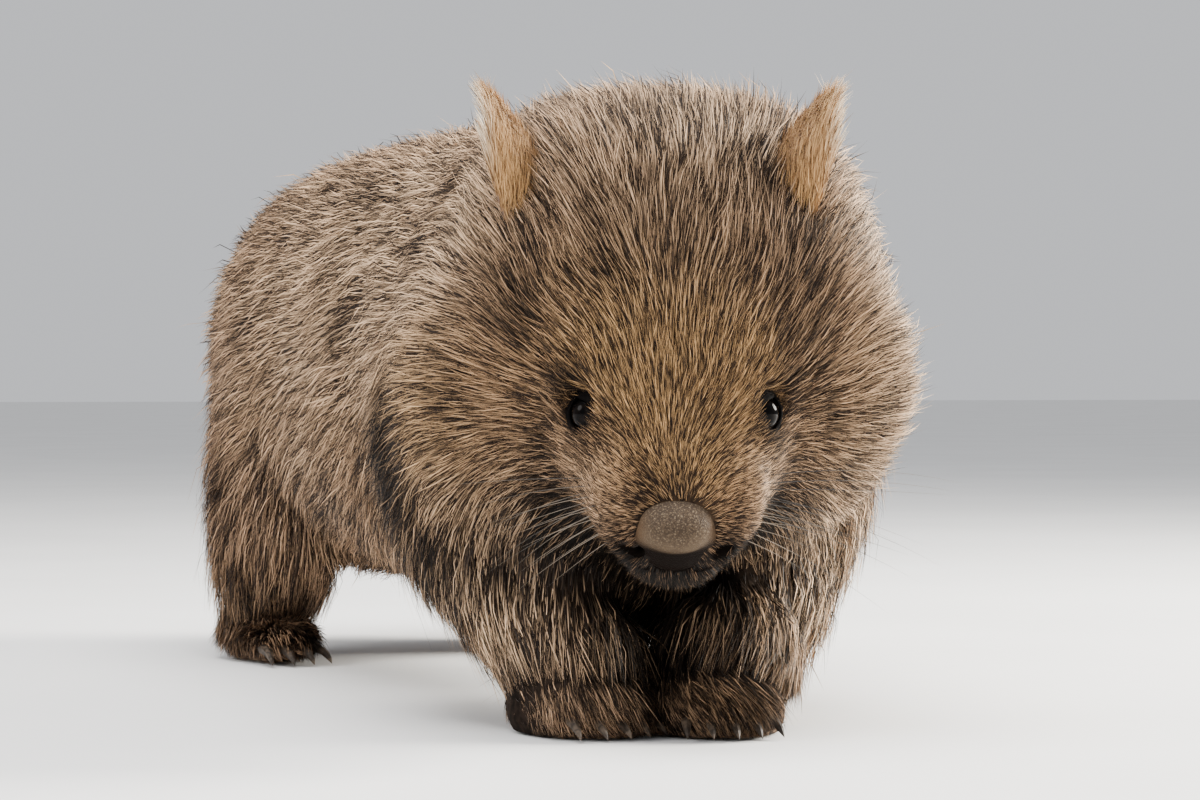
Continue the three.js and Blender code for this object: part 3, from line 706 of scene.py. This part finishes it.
sideways = run_along([1.0, 0.0, 0.0], [-2.0, 0.0, 0.0])
wing = (sideways * sideways).between(0.012 ** 2, 0.02 ** 2)
# Painted shade: below the rim the leather turns near black, dark lip leather darkened by the shade under
# the rim.
below = (0.0 - run_along([0.0, -0.35, 0.94], [-2.0, -137.0, -23.0])).between(-0.003, 0.0065)
leather = cloud.between(0.35, 0.65).choose((0.042, 0.028, 0.018), (0.080, 0.056, 0.036))
grainy = 1.0 - (0.0 - run_along([0.0, -0.35, 0.94], [-2.0, -137.0, -15.0])).between(-0.006, 0.004) * 0.75
leather = (speckle.between(0.48, 0.7) * grainy).choose(leather, (0.18, 0.137, 0.092))
# Painted shade: the sunk seams between the pebbles are darker.
leather = (pebbles_and_seam_shade.between(0.3, 0.75) * grainy).choose(leather, (0.04, 0.028, 0.02))
leather = (wing * 0.85).choose(leather, (0.075, 0.043, 0.023))
feed(shader, Base_Color=below.choose(leather, (0.003, 0.0014, 0.0008)))
feed(shader, Roughness=(speckle * 0.3 + 0.35))
feed(shader, Normal=(pebbles_and_seam_shade * -0.7 + speckle * 0.3).relief(0.6, 0.0006))
nose = mesh_piece("nose_pad", to_metres(from_head(nose_points)), nose_faces, nose_material)
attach(nose, "root")
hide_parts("nose")

# Eyes: glossy, nearly black balls, deep behind thin black lids whose opening slants down towards
# the nose. The opening is half its length, then how far it reaches down and up, in mm.
LID = 1.1
LID_REACH = 12.2
LID_STEP = 0.7
OPENING = (8.8, 7.2, 6.9)
SLANT = math.radians(46)
ROUND, TIERS = 48, 32


def eye_axes(s):
    """Columns: along the slit, across it, and the way the eye looks."""
    out = eye_ways[s]
    level = np.cross(out, [0.0, 0.0, 1.0])
    level /= np.linalg.norm(level)
    up = np.cross(level, out)
    turn = -s * SLANT
    along = level * math.cos(turn) + up * math.sin(turn)
    return np.stack([along, np.cross(out, along), out], 1)


def almond(q):
    """How far a point (in an eye's own axes) lies outside the slit between the lids."""
    span = np.clip(np.abs(q[:, 0]) / OPENING[0], 0, 1.4)
    half = np.where(q[:, 1] > 0, OPENING[1], OPENING[2])
    return np.abs(q[:, 1]) / half - (1 - span ** 2.2)


eye_material, shader, place = material("eye", {"Roughness": 0.05, "Specular IOR Level": 0.05})
iris = place.noise(300.0, 2.0)
feed(shader, Base_Color=iris.between(0.4, 0.7).choose((0.0012, 0.001, 0.001), (0.004, 0.0025, 0.002)))
lid_material, shader, place = material("lid", {"Roughness": 0.55, "Specular IOR Level": 0.02})
creases_and_shade = place.noise(900.0, 3.0)
# Painted shade: the lids are darker where their creases sink.
feed(shader, Base_Color=creases_and_shade.between(0.35, 0.7).choose((0.001, 0.0008, 0.0008), (0.003, 0.0022, 0.002)))
feed(shader, Normal=creases_and_shade.relief(0.4, 0.0005))
for s, side in SIDES:
    centre, axes = eye_places[s], eye_axes(s)

    def lid_field(h):
        q = (h - centre) @ axes
        reach = np.linalg.norm(q, axis=1)
        flesh = head_field(h) + coat_depth(from_head(h)) - 0.3
        shell = merge(3.5, flesh, reach - (EYE_RADIUS + LID))
        cut = np.maximum(almond(q) * 4.6, 1.5 - q[:, 2])
        lids = -merge(1.4, -shell, cut)
        lids = np.maximum(lids, EYE_RADIUS + 0.25 - reach)
        return np.maximum(lids, reach - LID_REACH)

    lid_points, lid_faces = net_over(lid_field, centre - 17, centre + 17, LID_STEP)
    lid_points = settle(lid_field, lid_points, lid_faces, 1, 0.4)
    lids = mesh_piece("lids_" + side, to_metres(from_head(lid_points)), lid_faces, lid_material)
    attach(lids, "root")
    turns = np.arange(ROUND) * 2 * math.pi / ROUND
    tilts = np.arange(1, TIERS) * math.pi / TIERS
    rings = np.stack(
        [np.outer(np.sin(tilts), np.cos(turns)), np.outer(np.sin(tilts), np.sin(turns)),
         np.repeat(np.cos(tilts)[:, None], ROUND, 1)], -1
    ).reshape(-1, 3)
    ball = np.concatenate([[[0, 0, 1.0]], rings, [[0, 0, -1.0]]]) * EYE_RADIUS
    index = 1 + np.arange(len(rings)).reshape(-1, ROUND)
    after = np.roll(index, -1, 1)
    sides = np.stack([index[:-1], index[1:], after[1:], after[:-1]], -1).reshape(-1, 4)
    caps = [[0, index[0, k], after[0, k]] for k in range(ROUND)]
    caps += [[len(rings) + 1, after[-1, k], index[-1, k]] for k in range(ROUND)]
    halves = np.concatenate([sides[:, [0, 1, 2]], sides[:, [0, 2, 3]], caps])
    eye = mesh_piece("eyeball_" + side, to_metres(from_head(centre + ball @ axes.T)), halves, eye_material)
    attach(eye, "root")
    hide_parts("eye_" + side)

# Ears: short pointed cups of thin gristle that open outwards, rooted in the coat of the crown.
# Each is a closed sheet with rings of points round a bent spine, from its root to its tip.
EAR_SPACING, EAR_LENGTH, EAR_ROOT, EAR_SHIFT = 154.0, 72.0, 52.0, -6.0
EAR_WIDE, EAR_DEEP, EAR_WALL = 24.0, 24.0, 3.6
EAR_RINGS, EAR_POINTS = 22, 36


def ear_spot(s, out, back, up):
    """A spot of the ear on side `s`, from its root's place on the head (mm)."""
    return np.array([EAR_SHIFT + s * (EAR_SPACING / 2 + out), back, EAR_ROOT + up], float)


ear_material, shader, place = material("ear_skin", {"Roughness": 0.7})
veins = place.noise(120.0, 4.0)
feed(shader, Base_Color=veins.between(0.3, 0.7).choose((0.16, 0.09, 0.06), (0.26, 0.17, 0.11)))
ear_nets = {}
for s, side in SIDES:
    a, b = ear_spot(s, -12, 33, 8), ear_spot(s, 0, 27, EAR_LENGTH * 0.6)
    c = ear_spot(s, 4, 36, EAR_LENGTH - 5)
    points = []
    for t in (np.arange(EAR_RINGS) + 0.5) / EAR_RINGS:
        spine = a * (1 - t) ** 2 + 2 * b * t * (1 - t) + c * t * t
        wide = EAR_WIDE * (1 - t ** 2.6) ** 0.7
        deep = EAR_DEEP * (1 - t ** 1.9) ** 0.75
        for k in range(EAR_POINTS):
            angle = 2 * math.pi * k / EAR_POINTS
            across, bow = math.cos(angle), math.sin(angle)
            wall = EAR_WALL * abs(bow) ** 0.5
            inward = -deep * abs(bow) + (wall if bow > 0 else 0.0)
            points.append(spine + np.array([s * (inward + deep * 0.25), wide * across, 0.0]))
    last = len(points)
    points += [a + np.array([0, 0, -2.0]), c]
    index = np.arange(last).reshape(EAR_RINGS, EAR_POINTS)
    after = np.roll(index, -1, 1)
    sides = np.stack([index[:-1], after[:-1], after[1:], index[1:]], -1).reshape(-1, 4)
    tris = [sides[:, [0, 1, 2]], sides[:, [0, 2, 3]]]
    tris.append(np.stack([after[0], index[0], np.full(EAR_POINTS, last)], 1))
    tris.append(np.stack([index[-1], after[-1], np.full(EAR_POINTS, last + 1)], 1))
    tris = np.concatenate(tris)
    if s < 0:
        tris = tris[:, ::-1]
    points = from_head(np.array(points))
    ear_nets[s] = (points, tris)
    ear = mesh_piece("ear_cup_" + side, to_metres(points), tris, ear_material)
    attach(ear, "root")
    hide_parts("ear_" + side)

# Coat: coarse hairs over the whole hide, each a thin flat blade that lies back from the nose, down
# the flanks and down the legs, drawn together in tufts, with a dark root and a tan or grey tip.
HAIRS = 470000
STRAY = 0.12
JOINTS = 2
GUARD_SHARE = 0.05
TAPER = (0.9, 0.8, 0.0)
BLADE = np.array([[0, 1, 3], [0, 3, 2], [2, 3, 4]])
PATCH = 0.003
NOSE_TIP = np.array([0.0, -122.0, -18.0])


def lie_of(p, facing, part):
    """The way the hairs lie at each point: back from the nose, back and down the body."""
    h = to_head(p)
    head = unit(h - NOSE_TIP)
    head[:, 1] += 0.55 * ease(h[:, 2], 20, 70)
    head = way_from_head(head)
    head[:, 2] -= 0.25 * ease(np.abs(h[:, 0]), 50, 100)
    low = 1 - ease(p[:, 2], 90, 290)
    trunk = np.zeros_like(p)
    breast = ease(-facing[:, 1], 0.15, 0.75)
    trunk[:, 1] = 1 - 0.85 * breast
    trunk[:, 2] = -0.18 - 0.75 * low - 1.3 * ease(facing[:, 1], 0.35, 0.85) - 0.9 * breast
    total = head * part[:, :1] + trunk * part[:, 1:2]
    for k, chain in enumerate(leg_chains.values()):
        down = np.array(chain[3][:3], float) - np.array(chain[0][:3], float)
        down /= np.linalg.norm(down)
        at_foot = (1 - ease(p[:, 2], 14, 44))[:, None]
        leg = down * (1 - at_foot) + np.array([0.0, -0.85, -0.5]) * at_foot
        total += leg * part[:, 2 + k:3 + k]
    turn = 0.22 * weave(p, 70, seed=5) + 0.10 * weave(p, 26, seed=6)
    total -= facing * (total * facing).sum(1)[:, None]
    total = unit(total)
    return unit(total + np.cross(facing, total) * turn[:, None])


def hair_sizes(p, part):
    """Length, width and how far the tip stands off the hide, in mm."""
    h = to_head(p)
    ahead = -h[:, 1]
    in_head = part[:, 0]
    head_length = 30 - 9 * ease(ahead, -20, 40) - 10 * ease(ahead, 30, 85) - 5.0 * ease(ahead, 84, 112)
    brow = 0
    for s, _ in SIDES:
        eye = eye_places[s]
        head_length -= 0.45 * head_length * near_spot(h, eye, 17.0)
        head_length -= 0.5 * head_length * near_spot(h, np.array([s * 18.0 - 2, -120.0, -23.0]), 11.0)
        head_length -= 0.5 * head_length * near_spot(h, eye + [-s * 9, -7, -5], 9.0)
        brow = brow + near_spot(h - eye, np.array([-s * 2.0, 2.0, 10.0]), 10.0)
    head_length += 11 * near_spot(h, np.array([-2.0, -98.0, -64.0]), 24.0)
    foot = 1 - ease(p[:, 2], 8, 52)
    body_length = 36 - 21 * foot
    breast = np.array([-24.0, -215.0, 70.0])
    between = np.exp(-((p - breast) ** 2 / np.array([44.0, 50.0, 50.0]) ** 2).sum(1))
    body_length = body_length + 34 * between * (1 - foot)
    length = in_head * head_length + (1 - in_head) * body_length
    stand = coat_depth(p) * (0.95 + 0.5 * between + 1.0 * brow)
    width = 0.58 - 0.1 * in_head - 0.16 * in_head * ease(ahead, -10, 80) - 0.1 * foot
    return length, width, np.minimum(stand, 0.6 * length)


def thickness(p):
    """How close the hairs stand at each point, 1 on the flank."""
    h = to_head(p)
    ahead = -h[:, 1]
    in_head = ease(-(skull_field(h) - trunk_field(p)), -30, 10)
    value = 1 + in_head * (0.55 + 1.3 * ease(ahead, -10, 60) + 1.9 * ease(ahead, 50, 100))
    value = value * (1 - 0.4 * (1 - ease(p[:, 2], 60, 90)) * (np.abs(p[:, 0]) < 70) * (p[:, 1] > -150))
    chest = np.exp(-((p - np.array([-24.0, -200.0, 80.0])) ** 2 / np.array([40.0, 50.0, 50.0]) ** 2).sum(1))
    return value * (1 + 1.2 * (1 - ease(p[:, 2], 10, 60)) + 1.5 * chest) * (p[:, 2] > 1.5)


def scatter(count):
    """Places spread evenly over the hide, more where the coat is thicker: faces, and corner weights."""
    corners = skin_points[skin_faces]
    first = np.cross(corners[:, 1] - corners[:, 0], corners[:, 2] - corners[:, 0])
    second = np.cross(corners[:, 2] - corners[:, 0], corners[:, 3] - corners[:, 0])
    area = (np.linalg.norm(first, axis=1) + np.linalg.norm(second, axis=1)) / 2
    share = np.cumsum(area * thickness(corners.mean(1)))
    pick = np.searchsorted(share, (np.arange(count) + rng.random(count)) * share[-1] / count)
    u, v = rng.random((2, count))
    weights = np.stack([(1 - u) * (1 - v), u * (1 - v), u * v, (1 - u) * v], 1)
    return skin_faces[np.minimum(pick, len(corners) - 1)], weights


def unwrap(p, part):
    """A place for each point on a flat unwrap of the hide: turn about its limb, then reach along it."""
    h = to_head(p)
    places = [(np.arctan2(h[:, 0], h[:, 2]), np.arctan2(np.hypot(h[:, 0], h[:, 2]), -h[:, 1]) * 100)]
    y = np.clip(p[:, 1], -160, 230)
    cap = np.arctan2(p[:, 1] - y, np.hypot(p[:, 0], p[:, 2] - middle)) * 120
    places.append((np.arctan2(p[:, 0], p[:, 2] - middle), y + cap))
    for k, chain in enumerate(leg_chains.values()):
        top, foot = np.array(chain[0][:3], float), np.array(chain[-1][:3], float)
        axis = top + (foot - top) * np.clip((top[2] - p[:, 2]) / (top[2] - foot[2]), 0, 1)[:, None]
        turn = np.arctan2(p[:, 0] - axis[:, 0], p[:, 1] - axis[:, 1])
        places.append((turn + 7.0 * (k + 1), top[2] - p[:, 2]))
    owner = part.argmax(1)
    flat = np.stack([np.stack(place, 1) for place in places], 1)
    return flat[np.arange(len(p)), owner]


def plant(count):
    """All that each hair needs, drawn from the corners of the face of the hide it grows on."""
    length, width, stand = hair_sizes(skin_points, skin_part)
    lie = lie_of(skin_points, skin_facing, skin_part)
    known = {
        "root": skin_points, "facing": skin_facing, "lie": lie, "length": length, "width": width,
        "stand": stand, "marks_and_shading": skin_marks_and_shading, "part": skin_part,
    }
    corners, weights = scatter(count)
    bed = {key: np.einsum("nk,nk...->n...", weights, values[corners]) for key, values in known.items()}
    bed["facing"] = unit(bed["facing"])
    bed["lie"] = unit(bed["lie"])
    bed["flat"] = unwrap(bed["root"], bed["part"])
    return bed


def thin_out(bed, chosen):
    """Only the chosen hairs of a bed."""
    return {key: values[chosen] for key, values in bed.items()}


def hair_paths(bed, lie, length, stand):
    """Rows of points down each hair: up off the hide, over, and down along it to the tip."""
    path = np.empty((len(length), JOINTS + 1, 3))
    for k in range(JOINTS + 1):
        t = k / JOINTS
        rise = stand * (1 - (1 - t) ** 2) - (length * t) ** 2 / 340 - 1.2 * (1 - t)
        path[:, k] = bed["root"] + lie * (length * t)[:, None] + bed["facing"] * rise[:, None]
    return path


def nearest_lead(points, leads):
    """Which lead stands nearest to each point."""
    tree = kdtree.KDTree(len(leads))
    for k, place in enumerate(leads):
        tree.insert(place, k)
    tree.balance()
    return np.array([tree.find(place)[1] for place in points])


def drawn_together(path, roots, size, pull):
    """Lean every hair towards the tip of the hair that leads its tuft of about `size` hairs."""
    leads = np.arange(0, len(roots), size)
    lead = leads[nearest_lead(roots, roots[leads])]
    lean = pull * np.linspace(0, 1, path.shape[1])[None, :, None] ** 1.5
    return path + (path[lead] - path) * lean * (1 - 0.5 * rng.random((len(roots), 1, 1)))


def coat_piece(name, bed, coat_material, tufts):
    """One joined mesh of a bed of hairs, which lean together in tufts towards their tips."""
    count = len(bed["root"])
    lie = unit(bed["lie"] + STRAY * rng.normal(size=(count, 3)))
    length = bed["length"] * (1 + 0.2 * rng.normal(size=count)).clip(0.5, 1.45)
    stand = bed["stand"] * (1 + 0.22 * rng.normal(size=count)).clip(0.3, 1.5)
    guard = rng.random(count) < GUARD_SHARE
    length = np.where(guard, length * 1.3, length)
    stand = np.where(guard, stand * 1.35, stand)
    path = hair_paths(bed, lie, length, stand)
    along = np.linspace(0, 1, JOINTS + 1)
    curl = along[None, :, None] ** 2 * (0.07 * length * rng.normal(size=count))[:, None, None]
    path += np.cross(bed["facing"], lie)[:, None, :] * curl
    for size, pull in tufts:
        path = drawn_together(path, bed["root"], size, pull)
    path[..., 2] = np.maximum(path[..., 2], 0.8)
    across = np.cross(np.gradient(path, axis=1), bed["facing"][:, None, :])
    across /= np.maximum(np.linalg.norm(across, axis=2), 1e-9)[..., None]
    tilt = (rng.normal(size=count) * 0.45)[:, None, None]
    across = across * np.cos(tilt) + bed["facing"][:, None, :] * np.sin(tilt)
    half = 0.5 * bed["width"] * (1 + 0.25 * rng.normal(size=count)).clip(0.5, 1.6)
    side = across * (half[:, None] * np.array(TAPER))[..., None]
    size = 2 * JOINTS + 1
    rows = np.empty((count, size, 3))
    rows[:, 0:size - 1:2] = (path - side)[:, :-1]
    rows[:, 1:size:2] = (path + side)[:, :-1]
    rows[:, -1] = path[:, -1]
    faces = (BLADE[None] + (np.arange(count) * size)[:, None, None]).reshape(-1, 3)
    piece = mesh_piece(name, to_metres(rows.reshape(-1, 3)), faces, coat_material)
    steps = np.repeat(along, 2)[:size]
    keep(piece.data, "along", np.tile(steps, count))
    keep(piece.data, "tone", np.repeat(rng.random(count), size))
    keep(piece.data, "marks_and_shading", np.repeat(bed["marks_and_shading"], size, 0))
    flat = bed["flat"] - bed["flat"].min(0)
    flat = PATCH + 0.99 * flat / np.maximum(flat.max(0), 1e-6)
    patch = np.stack([np.tile([-PATCH / 2, PATCH / 2], JOINTS + 1)[:size], steps * PATCH], 1)
    patch[-1, 0] = 0.0
    spots = (flat[:, None] + patch[None]).reshape(-1, 2)
    layer = piece.data.uv_layers.new(name="OFBake")
    layer.data.foreach_set("uv", spots[faces.ravel()].astype(np.float32).ravel())
    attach(piece, "root")


def hair_material(name, roots_dark, tips, gold_tips, pale_tips, dark_and_shaded_tips, contrast):
    """Hair that goes from a dark root to a tip whose colour follows the coat's patches, painted shade and
    painted light among them.
    """
    made, shader, place = material(name, {"Roughness": 0.5, "Specular IOR Level": 0.1})
    along = attribute(place, "along", "Fac")
    tone = attribute(place, "tone", "Fac")
    marks_and_shading = attribute(place, "marks_and_shading", "Vector")
    gold, pale, dark = (marks_and_shading.node("ShaderNodeSeparateXYZ", {0: marks_and_shading}, out=k) for k in range(3))
    tip = gold.choose(tips, gold_tips)
    tip = pale.choose(tip, pale_tips)
    # The dark patches, painted shade and a painted shadow among them, turn tips and roots near black.
    tip = (dark * 0.5).choose(tip, dark_and_shaded_tips)
    root = (dark * 0.9 + 0.1).choose(roots_dark, (0.004, 0.0028, 0.002))
    root = (tone * (1.0 - dark)).choose(root, tuple(1.9 * part for part in roots_dark))
    lit = along.between(0.12, 0.62) * tone.between(dark * 0.5 + contrast[0], dark * 0.2 + contrast[1])
    feed(shader, Base_Color=lit.choose(root, tip))
    return made


# The near-black tip colour goes where the dark patches lie: dark fur and painted shade.
coat_material = hair_material(
    "coat", (0.020, 0.012, 0.008), (0.55, 0.335, 0.195), (0.65, 0.385, 0.165), (1.0, 0.69, 0.43),
    (0.11, 0.07, 0.048), (0.28, 1.0),
)
bed = plant(HAIRS)
spot = to_head(bed["root"])
bare = np.zeros(HAIRS, bool)
front = spot[:, 1] < -40
tip = spot[front]
bare[front] = (nose_parts(tip) < -1.0) | (mouth_line(tip) < 0.8) | (nostril_field(tip) < 0.5)
for s, _ in SIDES:
    q = (spot - eye_places[s]) @ eye_axes(s)
    bare |= (np.linalg.norm(q, axis=1) < EYE_RADIUS + 6) & (almond(q) < 0.12)
bed = thin_out(bed, ~bare)
spot = to_head(bed["root"])
in_head = bed["part"][:, 0] > 0.5
trunk = ~in_head & (bed["part"][:, 1] > 0.5)
run = bed["root"][:, 1]
FACE_BACK, SHOULDER_BACK, FLANK_BACK = -42, -66, 128
areas = {
    "face": in_head & (spot[:, 1] < FACE_BACK),
    "head": in_head & (spot[:, 1] >= FACE_BACK),
    "shoulder": trunk & (run < SHOULDER_BACK),
    "flank": trunk & (run >= SHOULDER_BACK) & (run < FLANK_BACK),
    "rump": trunk & (run >= FLANK_BACK),
    "foreleg": ~in_head & ~trunk & (run < 0),
    "hindleg": ~in_head & ~trunk & (run >= 0),
}
FINE_TUFTS, LOCKS = (8, 0.5), (60, 0.25)
for area, chosen in areas.items():
    if area in ("face", "head"):
        across, tufts = spot[:, 0], (FINE_TUFTS,)
    else:
        across, tufts = bed["root"][:, 0] - SPINE_BEND * 2 * (area == "foreleg"), (LOCKS, FINE_TUFTS)
    for s, side in SIDES:
        half_bed = thin_out(bed, chosen & (across * s > 0))
        coat_piece(f"coat_{area}_{side}", half_bed, coat_material, tufts)

# Ear fur: short orange-tan hair all over each ear, growing to its tip, and a cream fringe off the
# outer part of its rim, where the cup's edge faces away from the head.
EAR_HAIRS = 9000
ear_coat = hair_material(
    "ear_coat", (0.16, 0.088, 0.042), (0.62, 0.39, 0.19), (0.54, 0.32, 0.135), (0.95, 0.88, 0.72),
    (0.16, 0.08, 0.04), (-0.1, 0.55),
)
for s, side in SIDES:
    points, tris = ear_nets[s]
    corners = points[tris]
    normal = np.cross(corners[:, 1] - corners[:, 0], corners[:, 2] - corners[:, 0])
    share = np.cumsum(np.linalg.norm(normal, axis=1) / 2)
    pick = np.searchsorted(share, (np.arange(EAR_HAIRS) + rng.random(EAR_HAIRS)) * share[-1] / EAR_HAIRS)
    pick = np.minimum(pick, len(tris) - 1)
    u, v = rng.random((2, EAR_HAIRS, 1))
    u, v = np.where(u + v > 1, 1 - u, u), np.where(u + v > 1, 1 - v, v)
    quad = corners[pick]
    root = quad[:, 0] + (quad[:, 1] - quad[:, 0]) * u + (quad[:, 2] - quad[:, 0]) * v
    normal = unit(normal)[pick]
    h = to_head(root)
    outward = (normal @ way_from_head([1, 0, 0])) * s
    rim = ease(1 - np.abs(outward), 0.2, 0.7)
    high = ease(h[:, 2], EAR_ROOT + 8, EAR_ROOT + EAR_LENGTH)
    fringe = (rim * 0.9 + ease(outward, 0.0, 0.4)).clip(0, 1) * ease((h[:, 0] - EAR_SHIFT) * s, 76, 84)
    out = way_from_head(np.array([s, 0.0, 0.0]))
    lie = way_from_head(np.array([s * 0.1, 0.12, 1.0])) + out * (0.5 * fringe)[:, None]
    lie = lie - normal * ((lie * normal).sum(1) * (1 - 0.5 * rim))[:, None]
    ear_bed = {
        "root": root, "facing": normal, "lie": unit(lie), "length": 14.0 + 3.0 * rim - 4.0 * high,
        "width": np.full(EAR_HAIRS, 0.5), "stand": 5.0 - 1.8 * high + 1.6 * fringe,
        # The third value darkens the lower part of the side that faces the head: painted shade between ear
        # and head.
        "marks_and_shading": np.stack([1 - high, fringe, 0.55 * ease(-outward, 0.5, 0.9) * (1 - high)], 1),
        "flat": np.stack([h[:, 1] + 60 * (outward > 0), h[:, 2]], 1),
    }
    coat_piece("ear_fur_" + side, ear_bed, ear_coat, ((6, 0.3),))

# Claws: the imported solids stay as they are, and are finished as worn dark horn with fine ridges
# along it, darker in the grooves between them as painted shade, and darker stains.
horn, shader, place = material("horn", {"Roughness": 0.5, "Specular IOR Level": 0.15})
ridges_and_shade = place.noise(240.0, 5.0, 0.6)
stain = place.noise(60.0, 2.0)
# Painted shade: darker in the grooves, where the ridges sink.
shade = ridges_and_shade.between(0.35, 0.65).choose((0.022, 0.016, 0.012), (0.085, 0.062, 0.044))
feed(shader, Base_Color=stain.between(0.5, 0.7).choose(shade, (0.022, 0.017, 0.014)))
feed(shader, Normal=ridges_and_shade.relief(0.5, 0.0004))
for name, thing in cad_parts.items():
    if "claw" in name:
        thing.data.materials.clear()
        thing.data.materials.append(horn)

# Whiskers: stiff tapering bristles from the pads beside the nose, swept out, back and down. Each
# is a thin round section swept along a drawn path, four rows of four on each side.
WHISKER_RADIUS, WHISKER_SIDES = 0.00022, 5
whisker_material, shader, place = material("whisker", {"Roughness": 0.4})
shade = place.noise(20.0)
feed(shader, Base_Color=shade.between(0.4, 0.6).choose((0.012, 0.009, 0.007), (0.16, 0.125, 0.09)))
tree = bpy.data.node_groups.new("bristles", "GeometryNodeTree")
tree.interface.new_socket("Curves", in_out="INPUT", socket_type="NodeSocketGeometry")
tree.interface.new_socket("Bristles", in_out="OUTPUT", socket_type="NodeSocketGeometry")
into = tree.nodes.new("NodeGroupInput")
out = tree.nodes.new("NodeGroupOutput")
ring = tree.nodes.new("GeometryNodeCurvePrimitiveCircle")
ring.inputs["Resolution"].default_value = WHISKER_SIDES
ring.inputs["Radius"].default_value = 1.0
thick = tree.nodes.new("GeometryNodeInputRadius")
sweep = tree.nodes.new("GeometryNodeCurveToMesh")
sweep.inputs["Fill Caps"].default_value = True
real = tree.nodes.new("GeometryNodeRealizeInstances")
coloured = tree.nodes.new("GeometryNodeSetMaterial")
coloured.inputs["Material"].default_value = whisker_material
tree.links.new(into.outputs["Curves"], sweep.inputs["Curve"])
tree.links.new(ring.outputs["Curve"], sweep.inputs["Profile Curve"])
tree.links.new(thick.outputs["Radius"], sweep.inputs["Scale"])
tree.links.new(sweep.outputs["Mesh"], real.inputs[0])
tree.links.new(real.outputs[0], coloured.inputs["Geometry"])
tree.links.new(coloured.outputs["Geometry"], out.inputs[0])

draw = np.random.default_rng(8)
curve = bpy.data.curves.new("whisker_paths", "CURVE")
curve.dimensions = "3D"
steps = np.linspace(0, 1, 9)
for s, _ in SIDES:
    for row in range(4):
        for k in range(4):
            start = np.array([s * (29 + 2.5 * k), -104 + 6 * k, -16 - 7 * row])
            drop = -0.1 - 0.1 * row if s > 0 else -0.25 - 0.16 * row
            way = np.array([s, 0.02 + 0.07 * k + 0.05 * draw.normal(), drop + 0.08 * draw.normal()])
            way /= np.linalg.norm(way)
            reach = (70 + 15 * k + 9 * draw.normal()) * (1.0 - 0.06 * row) * (1.0 if s > 0 else 0.7)
            path = from_head(start - way * 4 + way * reach * steps[:, None])
            path[:, 2] -= (steps ** 2) * reach * (0.16 + 0.05 * draw.normal())
            spline = curve.splines.new("POLY")
            spline.points.add(len(path) - 1)
            for n, place in enumerate(to_metres(path)):
                spline.points[n].co = (*place, 1.0)
                spline.points[n].radius = WHISKER_RADIUS * (1.02 - n / (len(path) - 1)) ** 0.8
carrier = put("whisker_paths", curve)
carrier.modifiers.new("bristles", "NODES").node_group = tree
evaluated = carrier.evaluated_get(bpy.context.evaluated_depsgraph_get())
whisker_mesh = bpy.data.meshes.new_from_object(evaluated)
bpy.data.objects.remove(carrier)
whisker_mesh.name = "whiskers"
whisker_mesh.materials.clear()
whisker_mesh.materials.append(whisker_material)
whiskers = put("whiskers", whisker_mesh)
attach(whiskers, "root")
